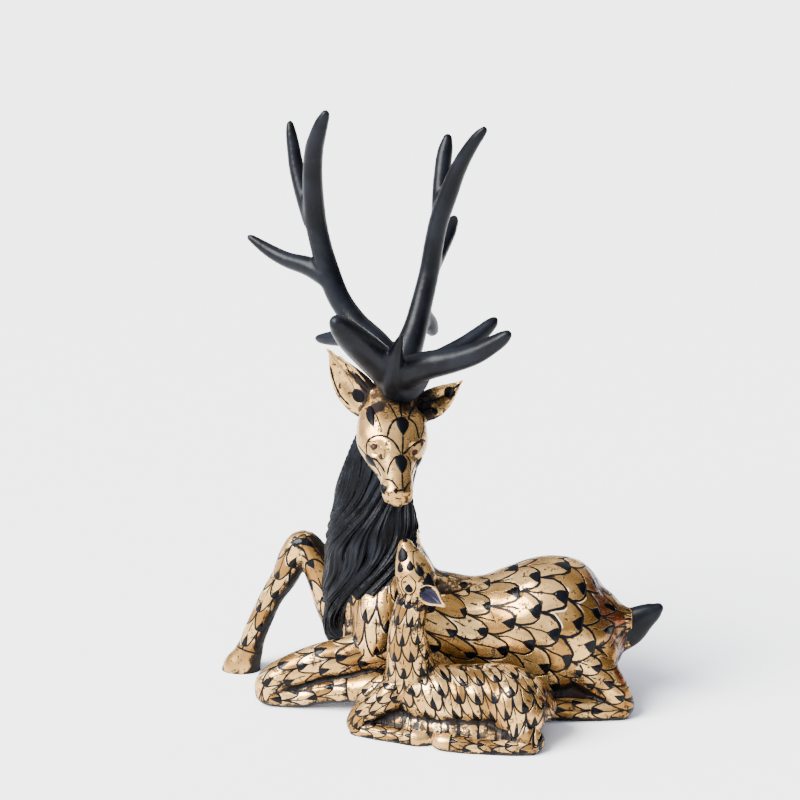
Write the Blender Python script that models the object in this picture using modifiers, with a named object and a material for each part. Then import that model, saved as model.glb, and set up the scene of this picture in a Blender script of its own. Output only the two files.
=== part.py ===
"""A reclining stag with a fawn against its flank, cast in one piece, and the rack of antlers seated on its crown.

The stag lies along X with its tail at +X, its near flank and the fawn are on the -Y side, and +Z is up.
The pose is laid out on a grid of units, and the figure with its antlers stands HEIGHT tall.
"""

import math

import bmesh
import bpy
from mathutils import Vector

HEIGHT = 0.430          # overall height, floor to the highest tine
GRID_HEIGHT = 406.4     # the same height in grid units
UNIT = HEIGHT / GRID_HEIGHT

SEAT_GAP = 0.0004       # glue line between the crown and the rack
MANE_LOCKS = 8          # half the number of locks round the neck
MANE_SWEEP = 1.45       # how far they sweep round it, radians
MANE_WAVE = 0.26        # how far they swing from side to side on the way, radians
MANE_DEPTH = 3.8        # how deep the partings between them are, grid units
MANE_STAND = 1.6        # how far the mane stands over the coat, grid units
MOUTH_DEPTH = 1.6       # the cut between the lips, grid units

BLOCK_VOXEL = 0.0026    # grain of the blocked-out trunk
CAST_VOXEL = 0.0014     # grain of the finished casting
FIGURE_FACES = 7750     # triangles kept on the figure
RACK_FACES = 1900       # triangles kept on the antlers
OVAL_SIDES = 24         # corners of one oval section
STEPS = 5               # sections drawn between two given ones

GOLD = (0.72, 0.52, 0.27)
BLACK = (0.028, 0.029, 0.034)

# Each section is x, y, z of its centre, then its half width across and its half depth, in grid units.
STAG_TORSO = (
    (-40, 0, 50, 14, 20), (-28, 0, 51, 28, 35), (-5, 0, 50, 35, 41), (22, 0, 47, 36, 42),
    (46, 0, 44, 37, 41), (66, 0, 46, 38, 41), (80, 0, 49, 41, 44), (94, 0, 51, 43, 48),
    (110, 0, 53, 42, 49), (128, 0, 53, 37, 44), (141, 0, 54, 28, 33), (150, 0, 56, 18, 22), (155, 0, 57, 9, 12),
)
STAG_NECK = (
    (-6, 0, 62, 30, 38), (-14, 0, 84, 30, 38), (-18, 0, 102, 29, 34), (-18.5, 0, 117, 27, 31.5),
    (-18.5, 0, 131, 25, 28.5), (-18, 0, 145, 23, 26), (-14, -1, 161, 21, 24), (-7, -3, 181, 19, 22.5),
    (-2, -6, 196, 17, 19), (0, -8, 204, 12, 13),
)
STAG_BEARD = (
    (-26, -2, 104, 20, 22), (-34, -3, 84, 20, 20), (-38, -4, 68, 16, 15), (-42, -5, 55, 11, 10), (-46, -6, 42, 5, 5),
)
STAG_SHOULDER = (
    (-7, -14, 83.3, 14, 18), (-12, -20, 68.6, 18, 22), (-15.8, -24, 55.4, 15, 19), (-19.7, -26, 43.7, 12, 15),
)
STAG_HAUNCH = ((88, -22, 56, 14, 20), (104, -26, 50, 19, 33), (122, -25, 44, 17, 31), (138, -24, 36, 12, 19))
STAG_HOCK = ((128, -30, 38, 12, 17), (140, -31, 28, 11, 14), (149.5, -32, 17.5, 10, 11), (155, -32, 8, 8.5, 9))
STAG_SHANK = (
    (153, -33, 6, 8.5, 8), (132.7, -37, 6.2, 8, 7.6), (112.4, -40, 7.4, 8, 7.6), (92.1, -42, 8.3, 7.6, 7.4), (75, -43, 8.5, 7, 7),
)
STAG_TAIL = (
    (146.8, 0, 48.7, 9, 17), (157.7, 0, 52.8, 8, 14), (167.1, 0, 59.7, 6.5, 10), (175.1, 0, 65.1, 5, 6.5),
    (177.8, 0, 67.3, 4, 4),
)
FAWN_KEEL = ((-6, -66, 9, 12, 9), (20, -68, 10, 20, 12), (52, -70, 9, 26, 12), (84, -74, 8, 24, 11))
JOINING_WEB = ((0, -47, 22, 9, 18), (30, -48, 22, 12, 18), (66, -49, 20, 12, 18), (92, -48, 15, 11, 14))
STAG_KEEL = ((-16, -2, 16, 26, 15), (20, -2, 12, 34, 13), (70, -2, 12, 36, 13), (118, -2, 12, 34, 13), (146, -2, 10, 22, 10))
FAR_FORWARD = 11        # how much further forward the far hind leg lies
FAR_FORELEG = (
    (-35.6, 18, 43, 16, 20), (-45.9, 22, 56.2, 14, 17), (-54.8, 26, 72.4, 12, 13.5),
    (-63.7, 30, 87.2, 11, 11.5), (-71.6, 31, 94.8, 10.5, 11), (-78.1, 31, 86.4, 10, 10.8),
    (-84.8, 31, 71.2, 9, 9.6), (-94.3, 30.5, 56, 8, 8.3), (-101.7, 30, 40, 7.8, 8.4),
    (-107.7, 29.5, 25.4, 8, 8.6), (-109.9, 29, 17.9, 8.4, 9),
)
FAR_HOOF = (
    (-109.9, 29, 17.9, 8.6, 9.4), (-112.9, 29, 10.1, 9.6, 11), (-116, 29, 3.1, 10.4, 13.5),
    (-117.6, 29, -3.2, 10.6, 14.5),
)
NEAR_FOREARM = (
    (-3.4, -24, 39.8, 14, 18), (-19.7, -27, 38.9, 13, 15.5), (-35.2, -30, 35.9, 12, 13.8),
    (-51, -31, 32.8, 12, 12.8), (-66.2, -31, 27.1, 11.5, 12.2), (-80.2, -31, 20.7, 11, 11),
    (-87.2, -31, 14.6, 10, 10.5), (-88.7, -31, 9.3, 9.5, 9.5),
)
NEAR_CANNON = (
    (-86, -31, 7.2, 9, 8.5), (-67.5, -34, 7.7, 8, 7.4), (-50.6, -36, 12.1, 7.6, 8.2),
    (-34.4, -38, 15, 7.6, 8.6), (-24, -39, 16.6, 8.6, 9),
)
NEAR_HOOF = ((-24, -39, 16.6, 9, 9.4), (-13.6, -40, 18.8, 10, 10), (-3.2, -41, 18.9, 9, 8))

# Sections of the head: distance along the face, depth under it, half width and half depth.
HEAD_CROWN = (0.4, -28.0, 216.5)
HEAD_NOSE = (7.8, -81.0, 171.5)
HEAD_SIDE = (0.96, 0.25, -0.11)
HEAD_SECTIONS = (
    (-21, -17, 14, 12), (-11, -17.5, 19.5, 16), (0, -18.8, 22.5, 18), (10, -19.5, 24, 19.5), (20, -19.5, 23.6, 19),
    (31, -17.5, 19, 16.5), (40, -15, 14.6, 13.5), (49, -12.5, 11.4, 11.5), (57, -11, 10.6, 10),
    (63.5, -10.5, 10.4, 9.4), (67.5, -10.5, 9.9, 8.8), (70, -10.5, 7.6, 6.8), (71, -10.5, 4.2, 3.8),
)
# On the face a place is its distance along it and its angle from the midline, in degrees.
BROW = ((14, 44, 5.8), (19, 46, 6.2), (24, 45, 5.6))      # along, angle, radius
EYE = (32.0, 55.0, 4.4)
EYE_SOCKET = (34.0, 47.0, 9.0)                             # along, angle, reach
SOCKET_DEPTH = 2.6
EYE_RISE = 2.0
NOSTRIL = (63.0, 68.0, 3.8)
NOSTRIL_DEPTH = 2.0
MOUTH_REACH = (46.0, 70.0)
MOUTH_ANGLE = 112.0

LEFT_EAR = dict(base=(-14, -12, 203), tip=(-48, -14, 250), width=13.8, thick=5.4, hollow=5.4, bow=-3.2, face=(-0.25, -0.95, 0.1))
RIGHT_EAR = dict(base=(8, -12, 204), tip=(43.4, 0, 226.5), width=10.8, thick=5.0, hollow=4.6, bow=1.2, face=(0.3, -0.6, 0.6))
FAWN_NEAR_EAR = dict(base=(18, -71, 104), tip=(36.3, -79, 93.3), width=7.6, thick=4.4, hollow=4.2, bow=0.0, face=(-0.1, -1.0, 0.25))
FAWN_FAR_EAR = dict(base=(23, -59, 101), tip=(56, -46, 97.5), width=7.0, thick=3.4, hollow=0.0, bow=0.0, face=(0.1, 0.9, 0.2))

FAWN_TORSO = (
    (4.4, -65, 28.3, 11, 14), (14, -67, 29.5, 18, 18), (27.5, -68, 27.9, 22, 20), (44.9, -68.5, 26.9, 23, 20.5),
    (62.8, -69.5, 28, 23, 21), (78.1, -71, 28.3, 22, 21.5), (91.4, -73, 26.3, 18, 18), (100, -74, 22.4, 10, 12),
)
FAWN_NECK = (
    (14.1, -70, 30.3, 14, 17), (12.7, -69, 47.7, 13.5, 16), (11.4, -69, 61.8, 12.5, 14),
    (11, -69, 73.8, 11.5, 12.2), (13.1, -67, 87.9, 10.5, 11), (15.7, -66, 96, 10, 10.5),
)
FAWN_HEAD = (
    (24.1, -63, 95.9, 7, 8), (19.2, -64, 98.9, 10.5, 12.4), (15.9, -65, 107.5, 11, 13.4),
    (12.9, -63, 115.9, 9.6, 11.4), (10.2, -61, 123.3, 7, 8), (9, -60, 127.8, 5.2, 5.4),
)
FAWN_HAUNCH = ((67.8, -80, 29.4, 11, 14), (81.2, -85, 26.4, 13, 19), (93.1, -86, 21.6, 11, 14))
FAWN_HOCK = ((86.8, -91, 15.1, 9, 11), (95.5, -93, 7.1, 8, 8))
FAWN_SHANK = (
    (93.6, -96, 4.9, 7, 6.5), (79.3, -97, 3.4, 6.4, 6.2), (64.3, -97, 3.5, 6, 6), (51.1, -96, 3.9, 6.6, 6.6),
    (37.9, -94, 4.6, 6.8, 6.6), (34.5, -93, 4.7, 6, 6),
)
FAWN_FOREARM = (
    (1.3, -76, 28.8, 9, 11), (-10, -76, 20.5, 8, 8.5), (-19, -74, 13.6, 7.4, 7.6), (-23.1, -73, 7.2, 7, 7),
)
FAWN_CANNON = (
    (-21.7, -74, 2.6, 6.6, 6), (-7.7, -80, 3, 6, 6), (6, -84, 3.2, 6, 6), (18.2, -87, 3.5, 7, 7),
    (23.6, -88, 4.2, 6, 6),
)
FAWN_FAR_FORELEG = ((-5.3, -62, 26.2, 9, 11), (-16.1, -62, 20, 8.5, 9))

# Antler tines: x, y, z and radius along each, from the crown out.
TINES = (
    # the beam on the stag's right
    ((-5.8, -10, 237, 10.95), (-15.2, -3, 249.6, 9.65), (-28.4, 4, 260.8, 8.45), (-37, 9, 270.5, 7.85),
     (-43.7, 12, 280.8, 7.85), (-50, 15, 296.5, 7.85), (-54.7, 16, 312.7, 7.45), (-58, 16, 329, 7.45),
     (-59.2, 14, 345.5, 7.25), (-59.3, 11, 362.1, 6.85), (-57.6, 7, 378.7, 6.45), (-54.3, 3, 389.8, 5.65),
     (-51.2, 0, 398.1, 4.65), (-48.6, -2, 403.6, 3.25)),
    # its back tine
    ((-61.5, 17, 328.7, 5.45), (-66.8, 23, 343.9, 5.65), (-72.3, 30, 361.7, 5.35), (-75, 34, 376, 4.75),
     (-76.9, 36, 386.5, 3.85), (-77.6, 37, 391.7, 2.85)),
    # its trez tine
    ((-51.3, 14, 292.6, 7.65), (-63.6, 20, 297.7, 6.85), (-79, 28, 300.3, 5.65), (-90.8, 34, 304.5, 4.95),
     (-100.1, 37, 309.7, 3.85), (-106.6, 39, 313.7, 2.65)),
    # its thick brow tine
    ((-3.4, -22, 233.3, 11.45), (-14.8, -40, 251.1, 11.45), (-25.5, -56, 266, 10.05),
     (-32, -66, 276.1, 7.65), (-34.1, -70, 279.6, 5.65)),
    # the low tine behind it
    ((-23.1, 2, 257.2, 7.45), (-38.7, 14, 250.6, 6.45), (-52, 22, 247.4, 4.65), (-58, 26, 246.4, 3.25)),
    # the beam on the stag's left
    ((2.2, -10, 237.2, 10.45), (6.9, -2, 250.5, 9.45), (10.4, 4, 261.6, 8.25), (12.8, 8, 271.7, 7.65),
     (15.8, 12, 284.6, 7.25), (18.6, 15, 297.7, 6.95), (21.1, 16, 313.9, 6.75), (24.4, 16, 330.3, 6.65),
     (28.1, 15, 341.3, 6.65), (32.1, 13, 352.4, 6.45), (36.2, 10, 363.5, 5.95), (41.6, 6, 374.8, 5.25),
     (48.3, 2, 386, 4.45), (52.3, 0, 391.2, 3.75), (54.9, -1, 394.3, 2.85)),
    # its back tine
    ((25.2, 18, 335.3, 6.05), (25.1, 24, 347.8, 5.85), (25.7, 29, 360.5, 5.75), (26.7, 33, 370.7, 5.65),
     (27.9, 35, 377.8, 5.05), (28.8, 36, 383.7, 3.45)),
    # its trez tine
    ((20.8, 17, 298.7, 5.05), (26.2, 30, 310.7, 5.05), (30.5, 42, 320.2, 4.85), (32.5, 52, 326.1, 3.35)),
    # the knob behind its root
    ((14.7, 10, 267.2, 6.45), (18.4, 24, 257.8, 6.05), (19.6, 36, 250.9, 4.45)),
    # its forked brow tine, the front prong
    ((0.8, -24, 233.9, 11.45), (19.7, -38, 244.6, 9.85), (36.5, -46, 250.3, 8.45), (52.4, -53, 257, 7.45),
     (64.1, -58, 264.4, 6.05), (71.2, -61, 269.8, 4.85), (73.8, -62, 272.1, 3.65)),
    # the back prong
    ((29.6, -40, 250, 6.85), (44.3, -35, 257.8, 6.25), (55, -30, 264.9, 5.65), (62, -27, 271, 4.45),
     (63.9, -26, 272.9, 3.45)),
    # the short spike over the brow
    ((-2.5, -26, 228.5, 8.85), (-2.7, -33, 236.7, 8.45), (-0.3, -41, 248.3, 6.25),
     (2.9, -48, 260.1, 3.85), (5.2, -52, 267, 2.25)),
)
SADDLE = ((-13, -17, 237, 8, 8), (-5, -20, 231.5, 10.5, 11.5), (2, -21, 227.5, 12, 13), (9, -19, 230, 11.5, 12), (16, -15, 235, 8, 8))
SEAT_POINT = (0.0, -20.0, 217.5)      # a point on the cut that takes the rack
SEAT_NORMAL = (0.0, -0.30, 0.95)      # the way the cut faces
SEAT_REACH = 60.0                     # radius of the tool that cuts it


def units(values):
    return Vector(values[:3]) * UNIT


def smooth_run(rows):
    """The given rows with STEPS more between each two, on one Catmull-Rom curve through them all."""
    rows = [tuple(float(v) for v in row) for row in rows]
    padded = [rows[0], *rows, rows[-1]]
    run = []
    for i in range(len(rows) - 1):
        a, b, c, d = padded[i:i + 4]
        for step in range(STEPS):
            t = step / STEPS
            run.append(tuple(
                0.5 * (2 * q + (r - p) * t + (2 * p - 5 * q + 4 * r - s) * t * t + (3 * q - p - 3 * r + s) * t ** 3)
                for p, q, r, s in zip(a, b, c, d)
            ))
    return [*run, rows[-1]]


def add_loft(work, centres, sizes, side):
    """Adds a closed loft of oval sections with domed ends to the bmesh."""
    rings = []
    for i, centre in enumerate(centres):
        along = centres[min(i + 1, len(centres) - 1)] - centres[max(i - 1, 0)]
        along.normalize()
        across = (side - along * side.dot(along)).normalized()
        deep = along.cross(across)
        rings.append((centre, along, across, deep, *sizes[i]))
    first, last = rings[0], rings[-1]
    dome = (0.5, 0.87)

    def capped(ring, way):
        centre, along, across, deep, wide, thick = ring
        rise = min(wide, thick)
        return [
            (centre + along * (way * rise * lift), along, across, deep,
             wide * math.sqrt(1 - lift * lift), thick * math.sqrt(1 - lift * lift))
            for lift in dome
        ]

    rings = [*reversed(capped(first, -1)), *rings, *capped(last, 1)]
    loops = []
    for centre, along, across, deep, wide, thick in rings:
        loops.append([
            work.verts.new(centre + across * (wide * math.cos(turn)) + deep * (thick * math.sin(turn)))
            for turn in (2 * math.pi * k / OVAL_SIDES for k in range(OVAL_SIDES))
        ])
    for low, high in zip(loops, loops[1:]):
        for k in range(OVAL_SIDES):
            n = (k + 1) % OVAL_SIDES
            work.faces.new((low[k], low[n], high[n], high[k]))
    for loop, ring, way in ((loops[0], rings[0], -1), (loops[-1], rings[-1], 1)):
        tip = work.verts.new(ring[0] + ring[1] * (way * 0.13 * min(ring[4], ring[5])))
        for k in range(OVAL_SIDES):
            n = (k + 1) % OVAL_SIDES
            corners = (loop[k], loop[n], tip) if way > 0 else (loop[n], loop[k], tip)
            work.faces.new(corners)


def limb(work, rows, side=(0, 1, 0), far=False):
    """A limb or a mass of the body, from its rows of grid units. A far one is on the other flank, a little forward."""
    run = smooth_run(rows)
    if far:
        run = [(x - FAR_FORWARD, -y, z, wide, thick) for x, y, z, wide, thick in run]
    centres = [Vector((x, y, z)) * UNIT for x, y, z, _, _ in run]
    sizes = [(wide * UNIT, thick * UNIT) for _, _, _, wide, thick in run]
    add_loft(work, centres, sizes, Vector(side))


def tine(work, rows):
    """A round, tapering tine."""
    limb(work, [(x, y, z, radius, radius) for x, y, z, radius in rows], side=(0.3, 1, 0.2))


def ball(work, centre, radius):
    made = bmesh.ops.create_uvsphere(work, u_segments=16, v_segments=10, radius=radius * UNIT)
    bmesh.ops.translate(work, verts=made["verts"], vec=centre)


def head_axes():
    """The crown, the way the face runs, the way to the stag's left and the way the face looks."""
    crown, nose = units(HEAD_CROWN), units(HEAD_NOSE)
    along = (nose - crown).normalized()
    side = Vector(HEAD_SIDE)
    side = (side - along * side.dot(along)).normalized()
    return crown, along, side, along.cross(side).normalized()


def face_section(along_units):
    """Depth, half width and half depth of the head at a distance along the face."""
    rows = HEAD_SECTIONS
    for low, high in zip(rows, rows[1:]):
        if along_units <= high[0]:
            t = max(0.0, (along_units - low[0]) / (high[0] - low[0]))
            return tuple(a + (b - a) * t for a, b in zip(low[1:], high[1:]))
    return rows[-1][1:]


def on_face(along_units, degrees, sink=0.0):
    """A point of the face, sunk below its skin."""
    crown, along, side, looks = head_axes()
    depth, wide, thick = face_section(along_units)
    turn = math.radians(degrees)
    return crown + (
        along * along_units + side * ((wide - sink) * math.sin(turn)) + looks * (depth + (thick - sink) * math.cos(turn))
    ) * UNIT


def add_head(work):
    crown, along, side, looks = head_axes()
    run = smooth_run(HEAD_SECTIONS)
    centres = [crown + (along * s + looks * d) * UNIT for s, d, _, _ in run]
    sizes = [(wide * UNIT, thick * UNIT) for _, _, wide, thick in run]
    add_loft(work, centres, sizes, side)
    for hand in (-1, 1):
        for s, turn, radius in BROW:
            ball(work, on_face(s, hand * turn, radius - 1.8), radius)


def ear_axes(ear):
    base, tip = units(ear["base"]), units(ear["tip"])
    along = (tip - base).normalized()
    face = Vector(ear["face"])
    face = (face - along * face.dot(along)).normalized()
    return base, (tip - base).length, along, face, along.cross(face).normalized()


def leaf_width(t):
    """Width of an ear from its root to its tip, as a share of its widest."""
    return math.sin(math.pi * (0.1 + 0.9 * min(max(t, 0), 1)) ** 0.8)


def add_ear(work, ear):
    """A leaf that is widest a third of the way up and ends in a point."""
    base, length, along, face, side = ear_axes(ear)
    centres, sizes = [], []
    steps = 14
    for i in range(steps):
        t = i / (steps - 1)
        leaf = leaf_width(t)
        curl = math.sin(math.pi * t)
        centres.append(base + along * (length * (t * 0.97)) - face * (0.05 * length * curl) + side * (ear["bow"] * UNIT * curl))
        sizes.append((max(ear["width"] * leaf, 1.1) * UNIT, max(ear["thick"] * leaf ** 0.6, 1.0) * UNIT))
    add_loft(work, centres, sizes, side)


def object_from(work, name):
    mesh = bpy.data.meshes.new(name)
    bmesh.ops.recalc_face_normals(work, faces=work.faces)
    work.to_mesh(mesh)
    work.free()
    made = bpy.data.objects.new(name, mesh)
    bpy.context.scene.collection.objects.link(made)
    return made


def fused(made, voxel, rounds):
    """The overlapping masses of an object as one skin, softened where they meet."""
    remesh = made.modifiers.new("one skin", "REMESH")
    remesh.mode = "VOXEL"
    remesh.voxel_size = voxel
    soften = made.modifiers.new("soften", "SMOOTH")
    soften.factor = 0.5
    soften.iterations = rounds
    graph = bpy.context.evaluated_depsgraph_get()
    mesh = bpy.data.meshes.new_from_object(made.evaluated_get(graph))
    made.modifiers.clear()
    made.data = mesh
    return made


def trunk():
    """Torso, neck, shoulders and haunches, blocked out and run together."""
    work = bmesh.new()
    limb(work, STAG_TORSO)
    limb(work, STAG_NECK)
    limb(work, STAG_BEARD)
    limb(work, STAG_KEEL)
    for far in (False, True):
        limb(work, STAG_SHOULDER, side=(0, 0, 1), far=far)
        limb(work, STAG_HAUNCH, far=far)
        limb(work, STAG_HOCK, far=far)
    return fused(object_from(work, "trunk"), BLOCK_VOXEL, 9)


def cast_figure():
    """The stag and the fawn as one skin."""
    block = trunk()
    work = bmesh.new()
    work.from_mesh(block.data)
    bpy.data.objects.remove(block)
    add_head(work)
    add_ear(work, LEFT_EAR)
    add_ear(work, RIGHT_EAR)
    limb(work, STAG_TAIL)
    for far in (False, True):
        limb(work, STAG_SHANK, far=far)
    for rows in (FAR_FORELEG, FAR_HOOF, NEAR_FOREARM, NEAR_CANNON, NEAR_HOOF):
        limb(work, rows)
    for rows in (JOINING_WEB, FAWN_TORSO, FAWN_KEEL, FAWN_NECK, FAWN_HEAD, FAWN_HAUNCH, FAWN_HOCK, FAWN_SHANK, FAWN_FOREARM, FAWN_CANNON,
                 FAWN_FAR_FORELEG):
        limb(work, rows)
    add_ear(work, FAWN_NEAR_EAR)
    add_ear(work, FAWN_FAR_EAR)
    return fused(object_from(work, "figure"), CAST_VOXEL, 4)


def dent(distance, reach):
    """1 at the middle of a dent, 0 from its edge on."""
    t = min(1.0, abs(distance) / reach)
    return (1 - t * t) ** 2


def rise(value, low, high):
    t = min(1.0, max(0.0, (value - low) / (high - low)))
    return t * t * (3 - 2 * t)


def mane_cover(point):
    """How far a point is inside the mane, 0 to 1, with the phase of its locks. The point is in grid units."""
    x, y, z = point
    axis = -18.0 + 12.0 * rise(z, 150, 200)
    lean = math.atan2(y + 2, -(x - axis))
    ragged = 4.0 * math.sin(7 * lean + 0.6) + 2.5 * math.sin(16 * lean)
    hem = 88 - 50 * rise(math.cos(lean), 0.45, 0.95) + 22 * rise(-math.cos(lean), 0, 1) + ragged
    sweep = MANE_SWEEP * rise(z, 62, 168) + MANE_WAVE * math.sin(z / 8.6 + 1.3 * lean) * (1 - 0.6 * rise(z, 110, 170))
    phase = MANE_LOCKS * (lean + sweep)
    return rise(z, hem - 2, hem + 2), phase


def in_mane(point):
    """The mane wraps the neck and the chest, and stops short of the head and the back."""
    x, y, z = point
    if not (36 < z < 214 and -64 < x < 30 and -42 < y < 42):
        return 0.0
    if x > 12 + 14 * rise(z, 150, 200) or (x > -2 and z < 92):
        return 0.0
    return 1.0


def carve(figure):
    """The locks of the mane, the hollows of the ears, the nostrils, the lips and the clefts of the hooves."""
    crown, along, side, looks = head_axes()
    ears = [(ear, *ear_axes(ear)) for ear in (LEFT_EAR, RIGHT_EAR, FAWN_NEAR_EAR, FAWN_FAR_EAR)]
    dents = [(on_face(*NOSTRIL[:2]), NOSTRIL[2], NOSTRIL_DEPTH), (on_face(*EYE_SOCKET[:2]), EYE_SOCKET[2], SOCKET_DEPTH)]
    dents += [(on_face(NOSTRIL[0], -NOSTRIL[1]), NOSTRIL[2], NOSTRIL_DEPTH)]
    dents += [(on_face(EYE_SOCKET[0], -EYE_SOCKET[1]), EYE_SOCKET[2], SOCKET_DEPTH)]
    dents += [(on_face(EYE[0], hand * EYE[1]), EYE[2], -EYE_RISE) for hand in (-1, 1)]
    moves = []
    for vert in figure.data.vertices:
        spot, push = vert.co, 0.0
        point = spot / UNIT
        from_crown = spot - crown
        s = from_crown.dot(along) / UNIT
        out = from_crown.dot(side) / UNIT
        depth, wide, thick = face_section(s)
        under = from_crown.dot(looks) / UNIT - depth
        on_head = s > -14 and (out / (wide + 5)) ** 2 + (under / (thick + 5)) ** 2 < 1
        if not on_head and in_mane(point):
            cover, phase = mane_cover(point)
            if cover > 0 and vert.normal.y < 0.98:
                groove = abs(math.sin(phase)) ** 0.6
                push += cover * (MANE_STAND + MANE_DEPTH * (groove - 1)) * UNIT
        if on_head:
            for hole, reach, sink in dents:
                push -= sink * UNIT * dent((spot - hole).length / UNIT, reach)
            turn = math.degrees(abs(math.atan2(out / wide, under / thick)))
            if MOUTH_REACH[0] < s < MOUTH_REACH[1] + 8:
                push -= MOUTH_DEPTH * UNIT * dent(turn - MOUTH_ANGLE, 9)
        for ear, base, length, up, face, across in ears:
            off = spot - base
            t = off.dot(up) / length
            if 0.04 < t < 1 and abs(off.dot(across)) < (ear["width"] + 4) * UNIT and abs(off.dot(face)) < 2 * ear["thick"] * UNIT:
                if vert.normal.dot(face) > 0.1:
                    leaf = leaf_width(t) * ear["width"] * UNIT
                    off_middle = off.dot(across) - ear["bow"] * UNIT * math.sin(math.pi * t)
                    push -= ear["hollow"] * UNIT * dent(off_middle, 0.86 * leaf + 1e-6) * dent(t - 0.5, 0.48)
        moves.append(vert.co + vert.normal * push)
    for vert, spot in zip(figure.data.vertices, moves):
        vert.co = spot


def applied(made):
    """The object with its modifiers worked into its mesh."""
    graph = bpy.context.evaluated_depsgraph_get()
    mesh = bpy.data.meshes.new_from_object(made.evaluated_get(graph))
    made.modifiers.clear()
    old = made.data
    made.data = mesh
    bpy.data.meshes.remove(old)
    return made


def thinned(made, faces):
    """The object with about that many triangles."""
    thin = made.modifiers.new("fewer faces", "DECIMATE")
    thin.ratio = min(1.0, faces / sum(len(face.vertices) - 2 for face in made.data.polygons))
    return applied(made)


def rack_of_antlers():
    work = bmesh.new()
    for rows in TINES:
        tine(work, rows)
    limb(work, SADDLE)
    rack = fused(object_from(work, "antlers"), CAST_VOXEL, 3)
    return thinned(rack, RACK_FACES)


def block_at(name, centre, normal, reach, height, store):
    """A round tool that stands on the plane through centre and reaches along the normal."""
    work = bmesh.new()
    bmesh.ops.create_cone(work, cap_ends=True, segments=48, radius1=reach, radius2=reach, depth=height)
    bmesh.ops.translate(work, verts=work.verts, vec=(0, 0, height / 2))
    tool = object_from(work, name)
    tool.rotation_mode = "QUATERNION"
    tool.rotation_quaternion = Vector((0, 0, 1)).rotation_difference(normal)
    tool.location = centre
    put_away(tool, store)
    return tool


def put_away(tool, store):
    for home in list(tool.users_collection):
        home.objects.unlink(tool)
    store.objects.link(tool)
    tool.hide_render = True
    tool.display_type = "WIRE"


def cut_with(made, tool, own_crossings=False):
    cut = made.modifiers.new("cut by " + tool.name, "BOOLEAN")
    cut.operation = "DIFFERENCE"
    cut.solver = "EXACT"
    cut.use_self = own_crossings
    cut.object = tool


def paint(made, name, colour, metallic, roughness):
    """One material for the whole node."""
    material = bpy.data.materials.new(name)
    material.use_nodes = True
    shader = material.node_tree.nodes["Principled BSDF"]
    shader.inputs["Base Color"].default_value = (*colour, 1)
    shader.inputs["Metallic"].default_value = metallic
    shader.inputs["Roughness"].default_value = roughness
    material.diffuse_color = (*colour, 1)
    made.data.materials.clear()
    made.data.materials.append(material)
    for face in made.data.polygons:
        face.use_smooth = True


def main():
    for old in list(bpy.data.objects):
        bpy.data.objects.remove(old)
    home = bpy.data.collections.new("deer_figurine")
    tools = bpy.data.collections.new("deer_figurine_cutters")
    bpy.context.scene.collection.children.link(home)
    bpy.context.scene.collection.children.link(tools)

    figure = cast_figure()
    carve(figure)
    thinned(figure, FIGURE_FACES)
    figure.name = "stag_and_fawn"
    rack = rack_of_antlers()

    seat, normal = units(SEAT_POINT), Vector(SEAT_NORMAL).normalized()
    below = block_at("below_the_seat", seat, -normal, SEAT_REACH * UNIT, 60 * UNIT, tools)
    cut_with(rack, below)
    applied(rack)

    grown = rack.copy()
    grown.data = rack.data.copy()
    grown.name = "rack_with_glue_line"
    tools.objects.link(grown)
    grown.hide_render = True
    grown.display_type = "WIRE"
    for vert, spot in zip(grown.data.vertices, [v.co + v.normal * SEAT_GAP for v in rack.data.vertices]):
        vert.co = spot
    cut_with(figure, grown, own_crossings=True)
    floor = block_at("below_the_floor", Vector((0.02, -0.03, 0)), Vector((0, 0, -1)), 0.4, 0.1, tools)
    cut_with(figure, floor)
    applied(figure)

    paint(figure, "gold_paint", GOLD, 0.75, 0.38)
    paint(rack, "black_paint", BLACK, 0.0, 0.5)
    for made in (figure, rack):
        for shelf in list(made.users_collection):
            shelf.objects.unlink(made)
        home.objects.link(made)
    bounds = [v.co for made in (figure, rack) for v in made.data.vertices]
    low = Vector([min(v[k] for v in bounds) for k in range(3)])
    high = Vector([max(v[k] for v in bounds) for k in range(3)])
    shift = Vector((-(low.x + high.x) / 2, -(low.y + high.y) / 2, 0))
    for made in (figure, rack):
        for vert in made.data.vertices:
            vert.co += shift
    print("shift in grid units", [round(v / UNIT, 2) for v in shift], "size", [round(v, 4) for v in high - low])
    return shift


LAST_SHIFT = main()
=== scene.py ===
import math

import bmesh
import bpy
import numpy as np
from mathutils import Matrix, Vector
from mathutils.bvhtree import BVHTree


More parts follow.
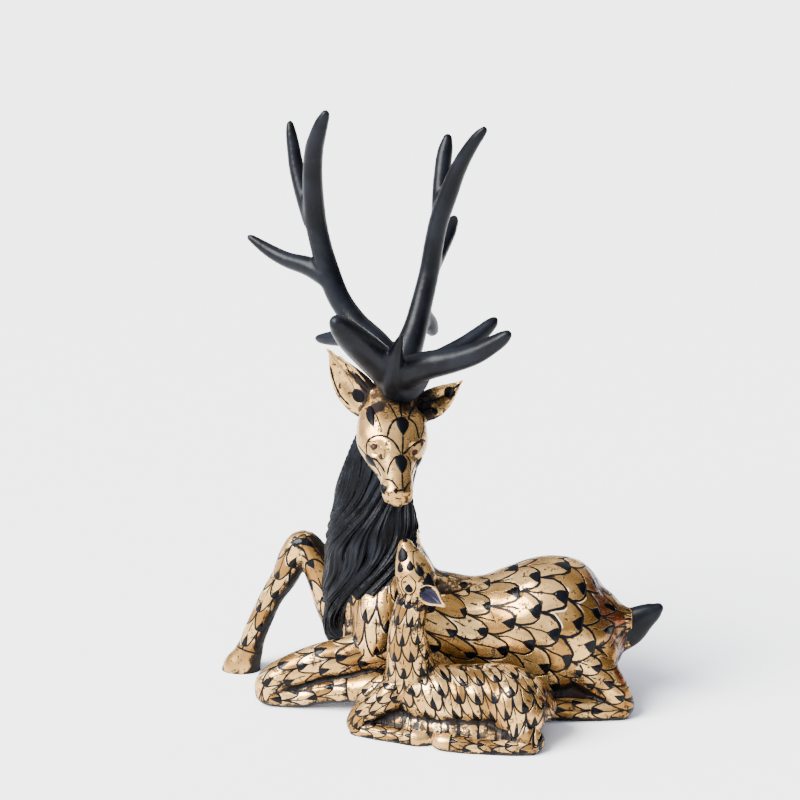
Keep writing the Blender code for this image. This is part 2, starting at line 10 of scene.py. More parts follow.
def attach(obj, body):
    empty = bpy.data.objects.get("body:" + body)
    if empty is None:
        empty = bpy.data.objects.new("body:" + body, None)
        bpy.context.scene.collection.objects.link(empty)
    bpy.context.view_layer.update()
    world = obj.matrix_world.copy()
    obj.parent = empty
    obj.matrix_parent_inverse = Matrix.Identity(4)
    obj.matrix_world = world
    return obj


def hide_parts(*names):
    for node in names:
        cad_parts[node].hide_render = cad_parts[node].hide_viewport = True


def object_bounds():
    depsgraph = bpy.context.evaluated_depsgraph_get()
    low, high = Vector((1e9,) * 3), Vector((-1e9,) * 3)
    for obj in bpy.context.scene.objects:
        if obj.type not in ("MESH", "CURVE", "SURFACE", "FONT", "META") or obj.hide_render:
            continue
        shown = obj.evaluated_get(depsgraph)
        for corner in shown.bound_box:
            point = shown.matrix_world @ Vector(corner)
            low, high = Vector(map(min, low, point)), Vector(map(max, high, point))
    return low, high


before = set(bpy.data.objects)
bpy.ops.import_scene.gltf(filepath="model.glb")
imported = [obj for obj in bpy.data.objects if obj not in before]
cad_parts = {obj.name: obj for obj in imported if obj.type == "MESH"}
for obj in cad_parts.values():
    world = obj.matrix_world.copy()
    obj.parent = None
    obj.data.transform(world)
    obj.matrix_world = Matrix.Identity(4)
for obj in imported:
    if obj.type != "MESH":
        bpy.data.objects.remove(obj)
cadLow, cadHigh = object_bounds()

# Everything is laid out on the maker's grid and put in its place in metres at the end.
unit = 0.430 / 406.4                      # metres in one grid unit
shift = np.array((-25.04, 24.37, 0.0))    # from the grid's middle to the figure's


def report(words):
    print("stage:", words)


def rise(value, low, high):
    t = np.clip((value - low) / (high - low), 0, 1)
    return t * t * (3 - 2 * t)


def dent(distance, reach):
    t = np.minimum(1, np.abs(distance) / reach)
    return (1 - t * t) ** 2


def smoothRun(rows, steps=5):
    rows = np.array(rows, float)
    padded = np.vstack([rows[:1], rows, rows[-1:]])
    run = []
    for i in range(len(rows) - 1):
        p, q, r, s = padded[i:i + 4]
        for t in np.arange(steps) / steps:
            bend = (2 * p - 5 * q + 4 * r - s) * t * t + (3 * q - p - 3 * r + s) * t ** 3
            run.append(0.5 * (2 * q + (r - p) * t + bend))
    return np.array([*run, rows[-1]])


def unitVector(v):
    return v / np.maximum(np.linalg.norm(v, axis=-1, keepdims=True), 1e-9)


def sectionAxes(run, side):
    # the way along a limb, across it and through it, at each of its sections
    centres = run[:, :3]
    along = np.vstack([centres[1:2] - centres[:1], centres[2:] - centres[:-2], centres[-1:] - centres[-2:-1]])
    along = unitVector(along)
    side = np.array(side, float)
    across = unitVector(side - along * (along @ side)[:, None])
    return along, across, np.cross(along, across)


def quads(rows, columns, closed=False):
    # the faces between rows of points, and on round to the first column where it is closed
    faces = []
    for i in range(rows - 1):
        for k in range(columns if closed else columns - 1):
            n = (k + 1) % columns
            faces.append((i * columns + k, i * columns + n, (i + 1) * columns + n, (i + 1) * columns + k))
    return faces


def loft(run, side, sides=24):
    # a closed skin of oval sections with domed ends
    along, across, deep = sectionAxes(run, side)
    turns = 2 * math.pi * np.arange(sides) / sides
    last = len(run) - 1

    def section(i, out=0.0):
        # out is how far it lies in the dome past the end, as a share of the dome
        thin = math.sqrt(1 - out * out)
        oval = np.outer(np.cos(turns) * run[i, 3], across[i]) + np.outer(np.sin(turns) * run[i, 4], deep[i])
        return run[i, :3] + along[i] * out * run[i, 3:5].min() + oval * thin

    rings = [section(i) for i in range(len(run))]
    rings = [section(0, -0.87), section(0, -0.5), *rings, section(last, 0.5), section(last, 0.87)]
    spots = np.vstack([*rings, section(0, -1)[:1], section(last, 1)[:1]])
    faces = quads(len(rings), sides, closed=True)
    headPoint, tailPoint, tailRing = len(spots) - 2, len(spots) - 1, (len(rings) - 1) * sides
    for k in range(sides):
        n = (k + 1) % sides
        faces += [(n, k, headPoint), (tailRing + k, tailRing + n, tailPoint)]
    return spots, faces


def putInScene(name, data):
    made = bpy.data.objects.new(name, data)
    bpy.context.scene.collection.objects.link(made)
    return made


def meshFrom(name, shells):
    spots, faces, base = [], [], 0
    for points, corners in shells:
        spots.append(points)
        faces += [tuple(base + c for c in corner) for corner in corners]
        base += len(points)
    mesh = bpy.data.meshes.new(name)
    mesh.from_pydata(np.vstack(spots).tolist(), [], faces)
    mesh.validate()
    return putInScene(name, mesh)


def fused(made, voxel, rounds):
    # the overlapping masses as one skin, softened where they meet
    bpy.context.view_layer.update()
    skin = made.modifiers.new("one skin", "REMESH")
    skin.mode, skin.voxel_size = "VOXEL", voxel
    soften = made.modifiers.new("soften", "SMOOTH")
    soften.factor, soften.iterations = 0.5, rounds
    mesh = bpy.data.meshes.new_from_object(made.evaluated_get(bpy.context.evaluated_depsgraph_get()))
    bpy.data.objects.remove(made)
    return mesh


def vertexValues(mesh, kind):
    flat = np.zeros(len(mesh.vertices) * 3, np.float32)
    mesh.vertices.foreach_get(kind, flat)
    return flat.reshape(-1, 3).astype(float)


def spotsOf(mesh):
    return vertexValues(mesh, "co")


def normalsOf(mesh):
    return vertexValues(mesh, "normal")


def setSpots(mesh, spots):
    mesh.vertices.foreach_set("co", spots.astype(np.float32).ravel())
    mesh.update()


def reworked(mesh, change):
    work = bmesh.new()
    work.from_mesh(mesh)
    work.faces.ensure_lookup_table()
    change(work)
    work.to_mesh(mesh)
    work.free()


def inMetres(spots):
    placed = (spots + shift) * unit
    return np.clip(placed, np.array(cadLow) + 1e-5, np.array(cadHigh) - 1e-5)


def neighbourMean(mesh, values, rounds):
    # each round moves a value to the mean of its neighbours' values
    ends = np.zeros(len(mesh.edges) * 2, np.int32)
    mesh.edges.foreach_get("vertices", ends)
    a, b = ends[::2], ends[1::2]
    count = len(mesh.vertices)
    share = np.maximum(np.bincount(a, minlength=count) + np.bincount(b, minlength=count), 1)
    values = values.copy()
    for _ in range(rounds):
        for k in range(values.shape[1]):
            total = np.bincount(a, values[b, k], count) + np.bincount(b, values[a, k], count)
            values[:, k] = 0.5 * values[:, k] + 0.5 * total / share
    return values


# Each row is x, y, z of a section's centre, then its half width across and its half depth.

stagMasses = {
    "torso": ((-40, 0, 50, 14, 20), (-28, 0, 51, 28, 35), (-5, 0, 50, 35, 41), (22, 0, 47, 36, 42),
              (46, 0, 44, 37, 41), (66, 0, 46, 38, 41), (80, 0, 49, 41, 44), (94, 0, 51, 43, 48),
              (110, 0, 53, 42, 49), (128, 0, 53, 37, 44), (141, 0, 54, 28, 33), (150, 0, 56, 18, 22),
              (155, 0, 57, 9, 12)),
    "neck": ((-6, 0, 62, 30, 38), (-14, 0, 84, 30, 38), (-18, 0, 102, 29, 34), (-18.5, 0, 117, 27, 31.5),
             (-18.5, 0, 131, 25, 28.5), (-18, 0, 145, 23, 26), (-14, -1, 161, 21, 24), (-7, -3, 181, 19, 22.5),
             (-2, -6, 196, 17, 19), (0, -8, 204, 12, 13)),
    "beard": ((-26, -2, 104, 20, 22), (-34, -3, 84, 20, 20), (-38, -4, 68, 16, 15), (-42, -5, 55, 11, 10),
              (-46, -6, 42, 5, 5)),
    "keel": ((-16, -2, 16, 26, 15), (20, -2, 12, 34, 13), (70, -2, 12, 36, 13), (118, -2, 12, 34, 13),
             (146, -2, 10, 22, 10)),
    "shoulder": ((-7, -14, 83.3, 14, 18), (-12, -20, 68.6, 18, 22), (-15.8, -24, 55.4, 15, 19),
                 (-19.7, -26, 43.7, 12, 15)),
    "haunch": ((88, -22, 56, 14, 20), (104, -26, 50, 19, 33), (122, -25, 44, 17, 31), (138, -24, 36, 12, 19)),
    "hock": ((128, -30, 38, 12, 17), (140, -31, 28, 11, 14), (149.5, -32, 17.5, 10, 11), (155, -32, 8, 8.5, 9)),
}
stagLimbs = {
    "shank": ((153, -33, 6, 8.5, 8), (132.7, -37, 6.2, 8, 7.6), (112.4, -40, 7.4, 8, 7.6), (92.1, -42, 8.3, 7.6, 7.4),
              (75, -43, 8.5, 7, 7)),
    "tail": ((146.8, 0, 48.7, 9, 17), (157.7, 0, 52.8, 8, 14), (167.1, 0, 59.7, 6.5, 10), (175.1, 0, 65.1, 5, 6.5),
             (177.8, 0, 67.3, 4, 4)),
    "farForeleg": ((-35.6, 18, 43, 16, 20), (-45.9, 22, 56.2, 14, 17), (-54.8, 26, 72.4, 12, 13.5),
                   (-63.7, 30, 87.2, 11, 11.5), (-71.6, 31, 94.8, 10.5, 11), (-78.1, 31, 86.4, 10, 10.8),
                   (-84.8, 31, 71.2, 9, 9.6), (-94.3, 30.5, 56, 8, 8.3), (-101.7, 30, 40, 7.8, 8.4),
                   (-107.7, 29.5, 25.4, 8, 8.6), (-109.9, 29, 17.9, 8.4, 9)),
    "farHoof": ((-109.9, 29, 17.9, 8.6, 9.4), (-112.9, 29, 10.1, 9.6, 11), (-116, 29, 3.1, 10.4, 13.5),
                (-117.6, 29, -3.2, 10.6, 14.5)),
    "forearm": ((-3.4, -24, 39.8, 14, 18), (-19.7, -27, 38.9, 13, 15.5), (-35.2, -30, 35.9, 12, 13.8),
                (-51, -31, 32.8, 12, 12.8), (-66.2, -31, 27.1, 11.5, 12.2), (-80.2, -31, 20.7, 11, 11),
                (-87.2, -31, 14.6, 10, 10.5), (-88.7, -31, 9.3, 9.5, 9.5)),
    "cannon": ((-86, -31, 7.2, 9, 8.5), (-67.5, -34, 7.7, 8, 7.4), (-50.6, -36, 12.1, 7.6, 8.2),
               (-34.4, -38, 15, 7.6, 8.6), (-24, -39, 16.6, 8.6, 9)),
    "nearHoof": ((-24, -39, 16.6, 9, 9.4), (-13.6, -40, 18.8, 10, 10), (-3.2, -41, 18.9, 9, 8)),
}
fawnLimbs = {
    "web": ((0, -47, 22, 9, 18), (30, -48, 22, 12, 18), (66, -49, 20, 12, 18), (92, -48, 15, 11, 14)),
    "fawnTorso": ((4.4, -65, 28.3, 11, 14), (14, -67, 29.5, 18, 18), (27.5, -68, 27.9, 22, 20),
                  (44.9, -68.5, 26.9, 23, 20.5),
                  (62.8, -69.5, 28, 23, 21), (78.1, -71, 28.3, 22, 21.5), (91.4, -73, 26.3, 18, 18),
                  (100, -74, 22.4, 10, 12)),
    "fawnKeel": ((-6, -66, 9, 12, 9), (20, -68, 10, 20, 12), (52, -70, 9, 26, 12), (84, -74, 8, 24, 11)),
    "fawnNeck": ((14.1, -70, 30.3, 14, 17), (12.7, -69, 47.7, 13.5, 16), (11.4, -69, 61.8, 12.5, 14),
                 (11, -69, 73.8, 11.5, 12.2), (13.1, -67, 87.9, 10.5, 11), (15.7, -66, 96, 10, 10.5)),
    "fawnHead": ((24.1, -63, 95.9, 7, 8), (19.2, -64, 98.9, 10.5, 12.4), (15.9, -65, 107.5, 11, 13.4),
                 (12.9, -63, 115.9, 9.6, 11.4), (10.2, -61, 123.3, 7, 8), (9, -60, 127.8, 5.2, 5.4)),
    "fawnHaunch": ((67.8, -80, 29.4, 11, 14), (81.2, -85, 26.4, 13, 19), (93.1, -86, 21.6, 11, 14)),
    "fawnHock": ((86.8, -91, 15.1, 9, 11), (95.5, -93, 7.1, 8, 8)),
    "fawnShank": ((93.6, -96, 4.9, 7, 6.5), (79.3, -97, 3.4, 6.4, 6.2), (64.3, -97, 3.5, 6, 6),
                  (51.1, -96, 3.9, 6.6, 6.6),
                  (37.9, -94, 4.6, 6.8, 6.6), (34.5, -93, 4.7, 6, 6)),
    "fawnForearm": ((1.3, -76, 28.8, 9, 11), (-10, -76, 20.5, 8, 8.5), (-19, -74, 13.6, 7.4, 7.6),
                    (-23.1, -73, 7.2, 7, 7)),
    "fawnCannon": ((-21.7, -74, 2.6, 6.6, 6), (-7.7, -80, 3, 6, 6), (6, -84, 3.2, 6, 6), (18.2, -87, 3.5, 7, 7),
                   (23.6, -88, 4.2, 6, 6)),
    "fawnFarForeleg": ((-5.3, -62, 26.2, 9, 11), (-16.1, -62, 20, 8.5, 9)),
}
twoSided = ("shoulder", "haunch", "hock", "shank")      # made on the far flank too
farForward = 11                           # how much further forward they lie there

# The stag's head: distance along the face, depth under it, half width and half depth.
face = {
    "crown": (0.4, -28.0, 216.5), "nose": (7.8, -81.0, 171.5), "side": (0.96, 0.25, -0.11),
    "sections": ((-21, -17, 14, 12), (-11, -17.5, 19.5, 16), (0, -18.8, 22.5, 18), (10, -19.5, 24, 19.5),
                 (20, -19.5, 23.6, 19),
                 (31, -17.5, 19, 16.5), (40, -15, 14.6, 13.5), (49, -12.5, 11.4, 11.5), (57, -11, 10.6, 10),
                 (63.5, -10.5, 10.4, 9.4), (67.5, -10.5, 9.9, 8.8), (70, -10.5, 7.6, 6.8), (71, -10.5, 4.2, 3.8)),
    # nostril, eye socket and eye: distance along, angle, reach, and depth, below 0 where it stands out
    "hollows": ((63.0, 68.0, 3.8, 2.0), (34.0, 47.0, 9.0, 2.6), (32.0, 55.0, 4.4, -2.0)),
    "mouth": (46.0, 78.0), "mouthAngle": 112.0, "mouthWidth": 9.0, "mouthDepth": 1.6,
    "from": -14, "margin": 5,             # where the head begins, and how far out of its oval a place still counts
}
ears = {
    "leftEar": {"base": (-14, -12, 203), "tip": (-48, -14, 250), "width": 13.8, "thick": 5.4, "hollow": 5.4,
                "bow": -3.2,
                "face": (-0.25, -0.95, 0.1)},
    "rightEar": {"base": (8, -12, 204), "tip": (43.4, 0, 226.5), "width": 10.8, "thick": 5.0, "hollow": 4.6,
                 "bow": 1.2,
                 "face": (0.3, -0.6, 0.6)},
    "fawnNearEar": {"base": (18, -71, 104), "tip": (36.3, -79, 93.3), "width": 7.6, "thick": 4.4, "hollow": 4.2,
                    "bow": 0.0,
                    "face": (-0.1, -1.0, 0.25)},
    "fawnFarEar": {"base": (23, -59, 101), "tip": (56, -46, 97.5), "width": 7.0, "thick": 3.4, "hollow": 0.0,
                   "bow": 0.0,
                   "face": (0.1, 0.9, 0.2)},
}
casting = {"blockVoxel": 0.0026 / unit, "voxel": 0.0014 / unit}

crown = np.array(face["crown"])
faceAlong = unitVector(np.array(face["nose"]) - crown)
faceSide = np.array(face["side"])
faceSide = unitVector(faceSide - faceAlong * (faceSide @ faceAlong))
faceLooks = np.cross(faceAlong, faceSide)


def faceSection(s):
    rows = np.array(face["sections"], float)
    return [np.interp(s, rows[:, 0], rows[:, k]) for k in (1, 2, 3)]


def onFace(s, degrees):
    depth, wide, thick = faceSection(s)
    turn = math.radians(degrees)
    return crown + faceAlong * s + faceSide * wide * math.sin(turn) + faceLooks * (depth + thick * math.cos(turn))


def facePlace(spots):
    # distance along the face, angle from its midline in degrees, and whether the place is on the head
    off = spots - crown
    s = off @ faceAlong
    depth, wide, thick = faceSection(s)
    out, under = off @ faceSide, off @ faceLooks - depth
    wideReach, thickReach = wide + face["margin"], thick + face["margin"]
    onHead = (s > face["from"]) & ((out / wideReach) ** 2 + (under / thickReach) ** 2 < 1)
    return s, np.degrees(np.arctan2(out / wide, under / thick)), onHead


def earAxes(ear):
    base, tip = np.array(ear["base"], float), np.array(ear["tip"], float)
    up = unitVector(tip - base)
    looks = np.array(ear["face"], float)
    looks = unitVector(looks - up * (looks @ up))
    return base, np.linalg.norm(tip - base), up, looks, np.cross(up, looks)


def leafWidth(t):
    return np.sin(math.pi * (0.1 + 0.9 * np.clip(t, 0, 1)) ** 0.8)


def earRun(ear):
    base, length, up, looks, across = earAxes(ear)
    t = np.linspace(0, 1, 14)
    leaf = leafWidth(t)
    curl = np.sin(math.pi * t)
    centres = base + np.outer(length * t * 0.97, up)
    centres += np.outer(ear["bow"] * curl, across) - np.outer(0.05 * length * curl, looks)
    wide = np.maximum(ear["width"] * leaf, 1.1)
    thick = np.maximum(ear["thick"] * np.maximum(leaf, 0) ** 0.6, 1.0)
    return np.column_stack([centres, wide, thick]), across


runs = {}                                 # name: its sections and the way across them
for name, rows in (*stagMasses.items(), *stagLimbs.items(), *fawnLimbs.items()):
    run, side = smoothRun(rows), (0, 0, 1) if name == "shoulder" else (0, 1, 0)
    runs[name] = (run, side)
    if name in twoSided:
        runs[name + "Far"] = (run * (1, -1, 1, 1, 1) - (farForward, 0, 0, 0, 0), side)
headRows = [(*(crown + faceAlong * s + faceLooks * d), w, t) for s, d, w, t in face["sections"]]
runs["head"] = (smoothRun(headRows), faceSide)
for name, ear in ears.items():
    runs[name] = earRun(ear)

trunkNames = [n for n in runs if n.removesuffix("Far") in stagMasses]
block = fused(meshFrom("trunk", [loft(*runs[n]) for n in trunkNames]), casting["blockVoxel"], 9)
blockShell = (spotsOf(block), [tuple(face.vertices) for face in block.polygons])
shells = [blockShell, *(loft(*runs[n]) for n in runs if n not in trunkNames)]
skin = fused(meshFrom("figure", shells), casting["voxel"], 4)
report(f"figure cast, {len(skin.polygons)} faces")


def placeOn(run, side, spots):
    # nearest place of a limb: distance along it, offsets across and through it, its size there, and how far out
    along, across, deep = sectionAxes(run, side)
    centres = run[:, :3]
    steps = np.linalg.norm(np.diff(centres, axis=0), axis=1)
    lengths = np.concatenate([[0], np.cumsum(steps)])
    best, where = np.full(len(spots), np.inf), np.zeros(len(spots))
    for i in range(len(run) - 1):
        way = centres[i + 1] - centres[i]
        t = np.clip((spots - centres[i]) @ way / (way @ way), 0, 1)
        gap = np.linalg.norm(spots - centres[i] - t[:, None] * way, axis=1)
        nearer = gap < best
        best[nearer] = gap[nearer]
        where[nearer] = (i + t)[nearer]
    low = np.minimum(where.astype(int), len(run) - 2)
    t = (where - low)[:, None]

    def between(values):
        return values[low] * (1 - t) + values[low + 1] * t

    off = spots - between(centres)
    size = between(run[:, 3:5])
    u = (off * unitVector(between(across))).sum(1)
    v = (off * unitVector(between(deep))).sum(1)
    beyond = (off * unitVector(between(along))).sum(1)
    out = np.sqrt((u / size[:, 0]) ** 2 + (v / size[:, 1]) ** 2 + (beyond / size.min(1)) ** 2)
    s = np.interp(where, np.arange(len(run)), lengths) + beyond
    return s, u, v, size.mean(1), out


def ownersOf(spots):
    names = list(runs)
    best, owner = np.full(len(spots), np.inf), np.zeros(len(spots), int)
    for index, name in enumerate(names):
        run, side = runs[name]
        reach = run[:, 3:5].max() * 1.8 + 4
        near = np.all((spots > run[:, :3].min(0) - reach) & (spots < run[:, :3].max(0) + reach), axis=1)
        out = placeOn(run, side, spots[near])[4]
        spot = np.flatnonzero(near)
        nearer = out < best[spot]
        best[spot[nearer]] = out[nearer]
        owner[spot[nearer]] = index
    return np.array(names)[owner]


mane = {
    "locks": 8, "sweep": 2.2, "wave": 0.24,                     # how many, and how far they wind and curl
    "depth": 2.7, "stand": 1.5,
    "strands": 3.0, "strandDepth": 1.5, "hairs": 8.5, "hairDepth": 0.45,        # on each lock
    "hem": 80, "hemInFront": 38, "hemLiftBehind": 28,           # the height of its lower edge
    "box": ((-64, -42, 36), (30, 42, 214)), "behind": 12, "leanBack": 14,       # and no further back than behind
    "bareBack": (-2, 92),                 # it stops at this x below this height, where the shoulder shows
}


def maneFlow(spots):
    # how far a place is inside the mane, the phase of its locks and the way round the neck
    x, y, z = spots.T
    axis = -18.0 + 12.0 * rise(z, 150, 200)
    lean = np.arctan2(y + 2, -(x - axis))
    ragged = 2.2 * np.sin(7 * lean + 0.6) + 1.2 * np.sin(16 * lean)
    hem = mane["hem"] - (mane["hem"] - mane["hemInFront"]) * rise(np.cos(lean), 0.45, 0.95)
    hem += mane["hemLiftBehind"] * rise(-np.cos(lean), 0, 1) + ragged
    curl = mane["wave"] * np.sin(z / 9.6 + 1.7 * lean) * (1 - 0.5 * rise(z, 120, 175))
    phase = mane["locks"] * (lean + mane["sweep"] * rise(z, 56, 172) + curl)
    low, high = mane["box"]
    inside = np.all((spots > low) & (spots < high), axis=1)
    inside &= x <= mane["behind"] + mane["leanBack"] * rise(z, 150, 200)
    inside &= ~((x > mane["bareBack"][0]) & (z < mane["bareBack"][1]))
    return rise(z, hem - 2, hem + 2) * inside, phase, lean


def onceFiner(mesh, chosen):
    # splits the chosen faces in four and eases the new corners
    def split(work):
        edges = {edge for i in np.flatnonzero(chosen) for edge in work.faces[i].edges}
        bmesh.ops.subdivide_edges(work, edges=sorted(edges, key=lambda edge: edge.index), cuts=1, use_grid_fill=True)

    before = len(mesh.vertices)
    reworked(mesh, split)
    spots = spotsOf(mesh)
    eased = neighbourMean(mesh, spots, 2)
    near = np.zeros((len(spots), 1))
    near[before:] = 1
    near = np.clip(neighbourMean(mesh, near, 3) * 2.5, 0, 1)
    setSpots(mesh, spots + (eased - spots) * near)


def facesOf(mesh):
    # the corner list, where each face starts in it, and which face each corner is in
    corners, starts = np.zeros(len(mesh.loops), np.int32), np.zeros(len(mesh.polygons), np.int32)
    mesh.loops.foreach_get("vertex_index", corners)
    mesh.polygons.foreach_get("loop_start", starts)
    return corners, starts, np.repeat(np.arange(len(starts)), np.diff(np.append(starts, len(corners))))


def inMane(spots, owners):
    cover, phase, lean = maneFlow(spots)
    bare = facePlace(spots)[2] | np.isin(owners, ("farForeleg", "forearm", "web"))
    bare |= np.char.endswith(owners, "Ear") | np.char.startswith(owners, "fawn")
    return cover * ~bare, phase, lean


spots = spotsOf(skin)
owners = ownersOf(spots)
corners, starts, cornerFace = facesOf(skin)
fine = (inMane(spots, owners)[0] > 0) | np.isin(owners, ("head", "leftEar", "rightEar", "fawnHead", "fawnNearEar"))
onceFiner(skin, fine[corners[starts]])

spots, normals = spotsOf(skin), normalsOf(skin)
owners = ownersOf(spots)
s, turn, onHead = facePlace(spots)
cover, phase, lean = inMane(spots, owners)
groove = np.abs(np.sin(phase)) ** 0.6
strand = np.abs(np.sin(phase * mane["strands"] + 0.8 * np.sin(spots[:, 2] / 17))) ** 0.6
hair = np.sin(phase * mane["hairs"] + 2.1 * np.sin(spots[:, 2] / 11))
uneven = 0.75 + 0.25 * np.sin(phase * 0.5 + spots[:, 2] / 14)
push = mane["stand"] + mane["depth"] * (groove - 1) + mane["hairDepth"] * (hair - 1)
push = cover * (push + mane["strandDepth"] * uneven * (strand - 1))
for hand in (-1, 1):
    for far, angle, reach, depth in face["hollows"]:
        push -= depth * dent(np.linalg.norm(spots - onFace(far, hand * angle), axis=1), reach) * onHead
atMouth = onHead & (s > face["mouth"][0]) & (s < face["mouth"][1])
push -= face["mouthDepth"] * dent(np.abs(turn) - face["mouthAngle"], face["mouthWidth"]) * atMouth
for ear in ears.values():
    base, length, up, looks, across = earAxes(ear)
    off = spots - base
    t = off @ up / length
    wide, deep = off @ across - ear["bow"] * np.sin(math.pi * np.clip(t, 0, 1)), off @ looks
    inside = (t > 0.04) & (t < 1) & (np.abs(wide) < ear["width"] + 4)
    inside &= (np.abs(deep) < 2 * ear["thick"]) & (normals @ looks > 0.1)
    leaf = leafWidth(t) * ear["width"]
    push -= ear["hollow"] * dent(wide, 0.86 * np.maximum(leaf, 0.01)) * dent(t - 0.5, 0.48) * inside
spots = spots + normals * push[:, None]
spots[:, 2] = np.maximum(spots[:, 2], 0)          # it stands on a flat underside
setSpots(skin, spots)
normals = normalsOf(skin)
owners = ownersOf(spots)
report(f"carved, {len(skin.polygons)} faces")


# Scales lie in rows along a limb and columns round it. Tips point the way the rows are counted.
# On a limb, columns is how many go round it. On a flank, rowFit and columnFit say how rows and columns run
# with s, the distance along, and a, the angle from the ridge: 1, s, a, s*a, s*s, a*a. Outside s and a's measured
# span they run straight on.

charts = {
    "torso": {"span": (85, 400, 2.2), "rowFit": (-3.12, 0.000433, 0.0622, -0.00347, 0.000246, 0.49),
              "columnFit": (-0.973, -0.0191, 2.85, -0.0071, 0.0000453, -0.0546)},
    "chest": {"span": (-200, 200, 4), "rowFit": (3.84, 0.0434, -0.8175, 0, 0, 0),
              "columnFit": (-3.056, -0.001, 2.4075, 0, 0, 0)},
    "fawnTorso": {"span": (30, 100, 1.15), "rowFit": (0.648, -0.0787, 1.51, -0.0055, 0.000784, 0.264),
                  "columnFit": (-3.11, 0.0834, -1.05, -0.00525, 0.0000347, 0.314)},
    "hock": {"rowFlat": (0.0855, -0.0311, 0.2), "columnFlat": (0.0244, 0.0671, -0.38)},     # by x, by z, and the start
    "shank": {"columns": 4, "row": 12.5, "start": 0.3, "turn": 0.2},
    "farForeleg": {"columns": 4, "row": 13.8, "start": -5.916, "turn": 0.884, "hoofAt": 153.5},
    "forearm": {"columns": 5, "row": 12.9, "start": -4.942, "turn": 1.544},
    "cannon": {"columns": 4, "row": 12.5, "start": 0.2, "turn": 0.5, "hoofAt": 56.0},
    "fawnNeck": {"columns": 7, "row": -11.5, "start": 3.1, "turn": 0.5},
    "fawnHead": {"columns": 5, "row": -7.5, "start": 0.5, "turn": 0.3, "paintedFrom": 200},     # its marks are drawn
    "fawnShank": {"columns": 4, "row": 9.0, "start": 0.2, "turn": 0.4, "hoofAt": 51.5},
    "fawnForearm": {"columns": 5, "row": 8.5, "start": 0.0, "turn": 0.2},
    "fawnCannon": {"columns": 4, "row": 9.0, "start": 0.4, "turn": 0.1, "hoofAt": 40.0},
    "fawnFarForeleg": {"columns": 5, "row": 8.5, "start": 0.5, "turn": 0.0},
}
chartOf = {                               # parts that share the chart of another
    "neck": "chest", "beard": "chest", "hockFar": "hock", "shankFar": "shank",
    "farHoof": "farForeleg", "nearHoof": "cannon",
    **dict.fromkeys(("shoulder", "shoulderFar", "keel", "haunch", "haunchFar"), "torso"),
    **dict.fromkeys(("web", "fawnKeel", "fawnHaunch", "fawnHock"), "fawnTorso"),
}
chestEnds = 8                             # the chest's scales stop at this x, behind the fawn's neck
chestMiddle, chestSize = -8.0, 39.0       # its middle's x, and how far its skin lies from it
noHoof = -30.0                            # stands for the distance past a hoof's ring where there is no hoof


def flankFit(terms, s, a, size, span):
    # the count at each place, and how long one step of it is there
    k, b = np.clip(s, *span[:2]), np.minimum(a, span[2])
    base = terms[0] + terms[1] * k + terms[2] * b + terms[3] * k * b + terms[4] * k * k + terms[5] * b * b
    alongStep = terms[1] + terms[3] * b + 2 * terms[4] * k
    roundStep = terms[2] + terms[3] * k + 2 * terms[5] * b
    step = np.maximum(np.hypot(alongStep, roundStep / size), 0.03)
    return base + alongStep * (s - k) + roundStep * (a - b), 1 / step


def chartValues(name, spots, owner):
    # rows, columns, how far past the hoof line, then row length, column width and how far scales are painted
    chart, hoof, painted = charts[name], noHoof, 1.0
    if "rowFlat" in chart:
        (rowX, rowZ, start), (columnX, columnZ, turn) = chart["rowFlat"], chart["columnFlat"]
        rows, rowLength = spots[:, 0] * rowX + spots[:, 2] * rowZ + start, 1 / math.hypot(rowX, rowZ)
        columns, columnWidth = spots[:, 0] * columnX + spots[:, 2] * columnZ + turn, 1 / math.hypot(columnX, columnZ)
    elif "rowFit" in chart:
        if name == "chest":
            s, size = -spots[:, 2], chestSize
            angle = np.abs(np.arctan2(spots[:, 1], chestMiddle - spots[:, 0]))
        else:
            s, u, v, size, out = placeOn(*runs[name], spots)
            angle = np.abs(np.arctan2(u, v))
        rows, rowLength = flankFit(chart["rowFit"], s, angle, size, chart["span"])
        columns, columnWidth = flankFit(chart["columnFit"], s, angle, size, chart["span"])
    else:
        s, u, v, size, out = placeOn(*runs["shankFar" if owner == "shankFar" else name], spots)
        rows, rowLength = s / chart["row"] + chart["start"], abs(chart["row"])
        columns = np.arctan2(u, v) / (2 * math.pi) * chart["columns"] + chart["turn"]
        columnWidth, painted = 2 * math.pi * size / chart["columns"], 1.0 * (s > chart.get("paintedFrom", -np.inf))
        if "hoofAt" in chart:
            hoof = s - chart["hoofAt"]
    return np.column_stack(np.broadcast_arrays(rows, columns, hoof, rowLength, columnWidth, painted))


corners, starts, cornerFace = facesOf(skin)
faceOwner, faceX = owners[corners[starts]], spots[corners[starts], 0]
faceChart = np.array([chartOf.get(owner, owner) for owner in faceOwner])
faceChart[(faceChart == "torso") & (faceX < chestEnds)] = "chest"
chartValue, grainValue = np.zeros((len(corners), 3)), np.zeros((len(corners), 3))
chartValue[:, 2], grainValue[:, :2] = noHoof, 10
for name in charts:
    for owner in sorted(set(faceOwner[faceChart == name])):
        chosen = np.flatnonzero(((faceOwner == owner) & (faceChart == name))[cornerFace])
        used, back = np.unique(corners[chosen], return_inverse=True)
        values = chartValues(name, spots[used], owner)[back]
        if "columns" in charts[name]:                            # a face across the seam is unrolled
            turnOf, top = charts[name]["columns"], np.full(len(starts), -np.inf)
            np.maximum.at(top, cornerFace[chosen], values[:, 1])
            values[:, 1] += turnOf * (top[cornerFace[chosen]] - values[:, 1] > turnOf / 2)
        chartValue[chosen], grainValue[chosen] = values[:, :3], values[:, 3:6]

cavityRounds, creaseRounds = 20, 130              # how widely the skin is smoothed to find its hollows
tailRoot, tailPainted = 150, (8.6, 9.4)           # its root's x, and how far along it the black begins

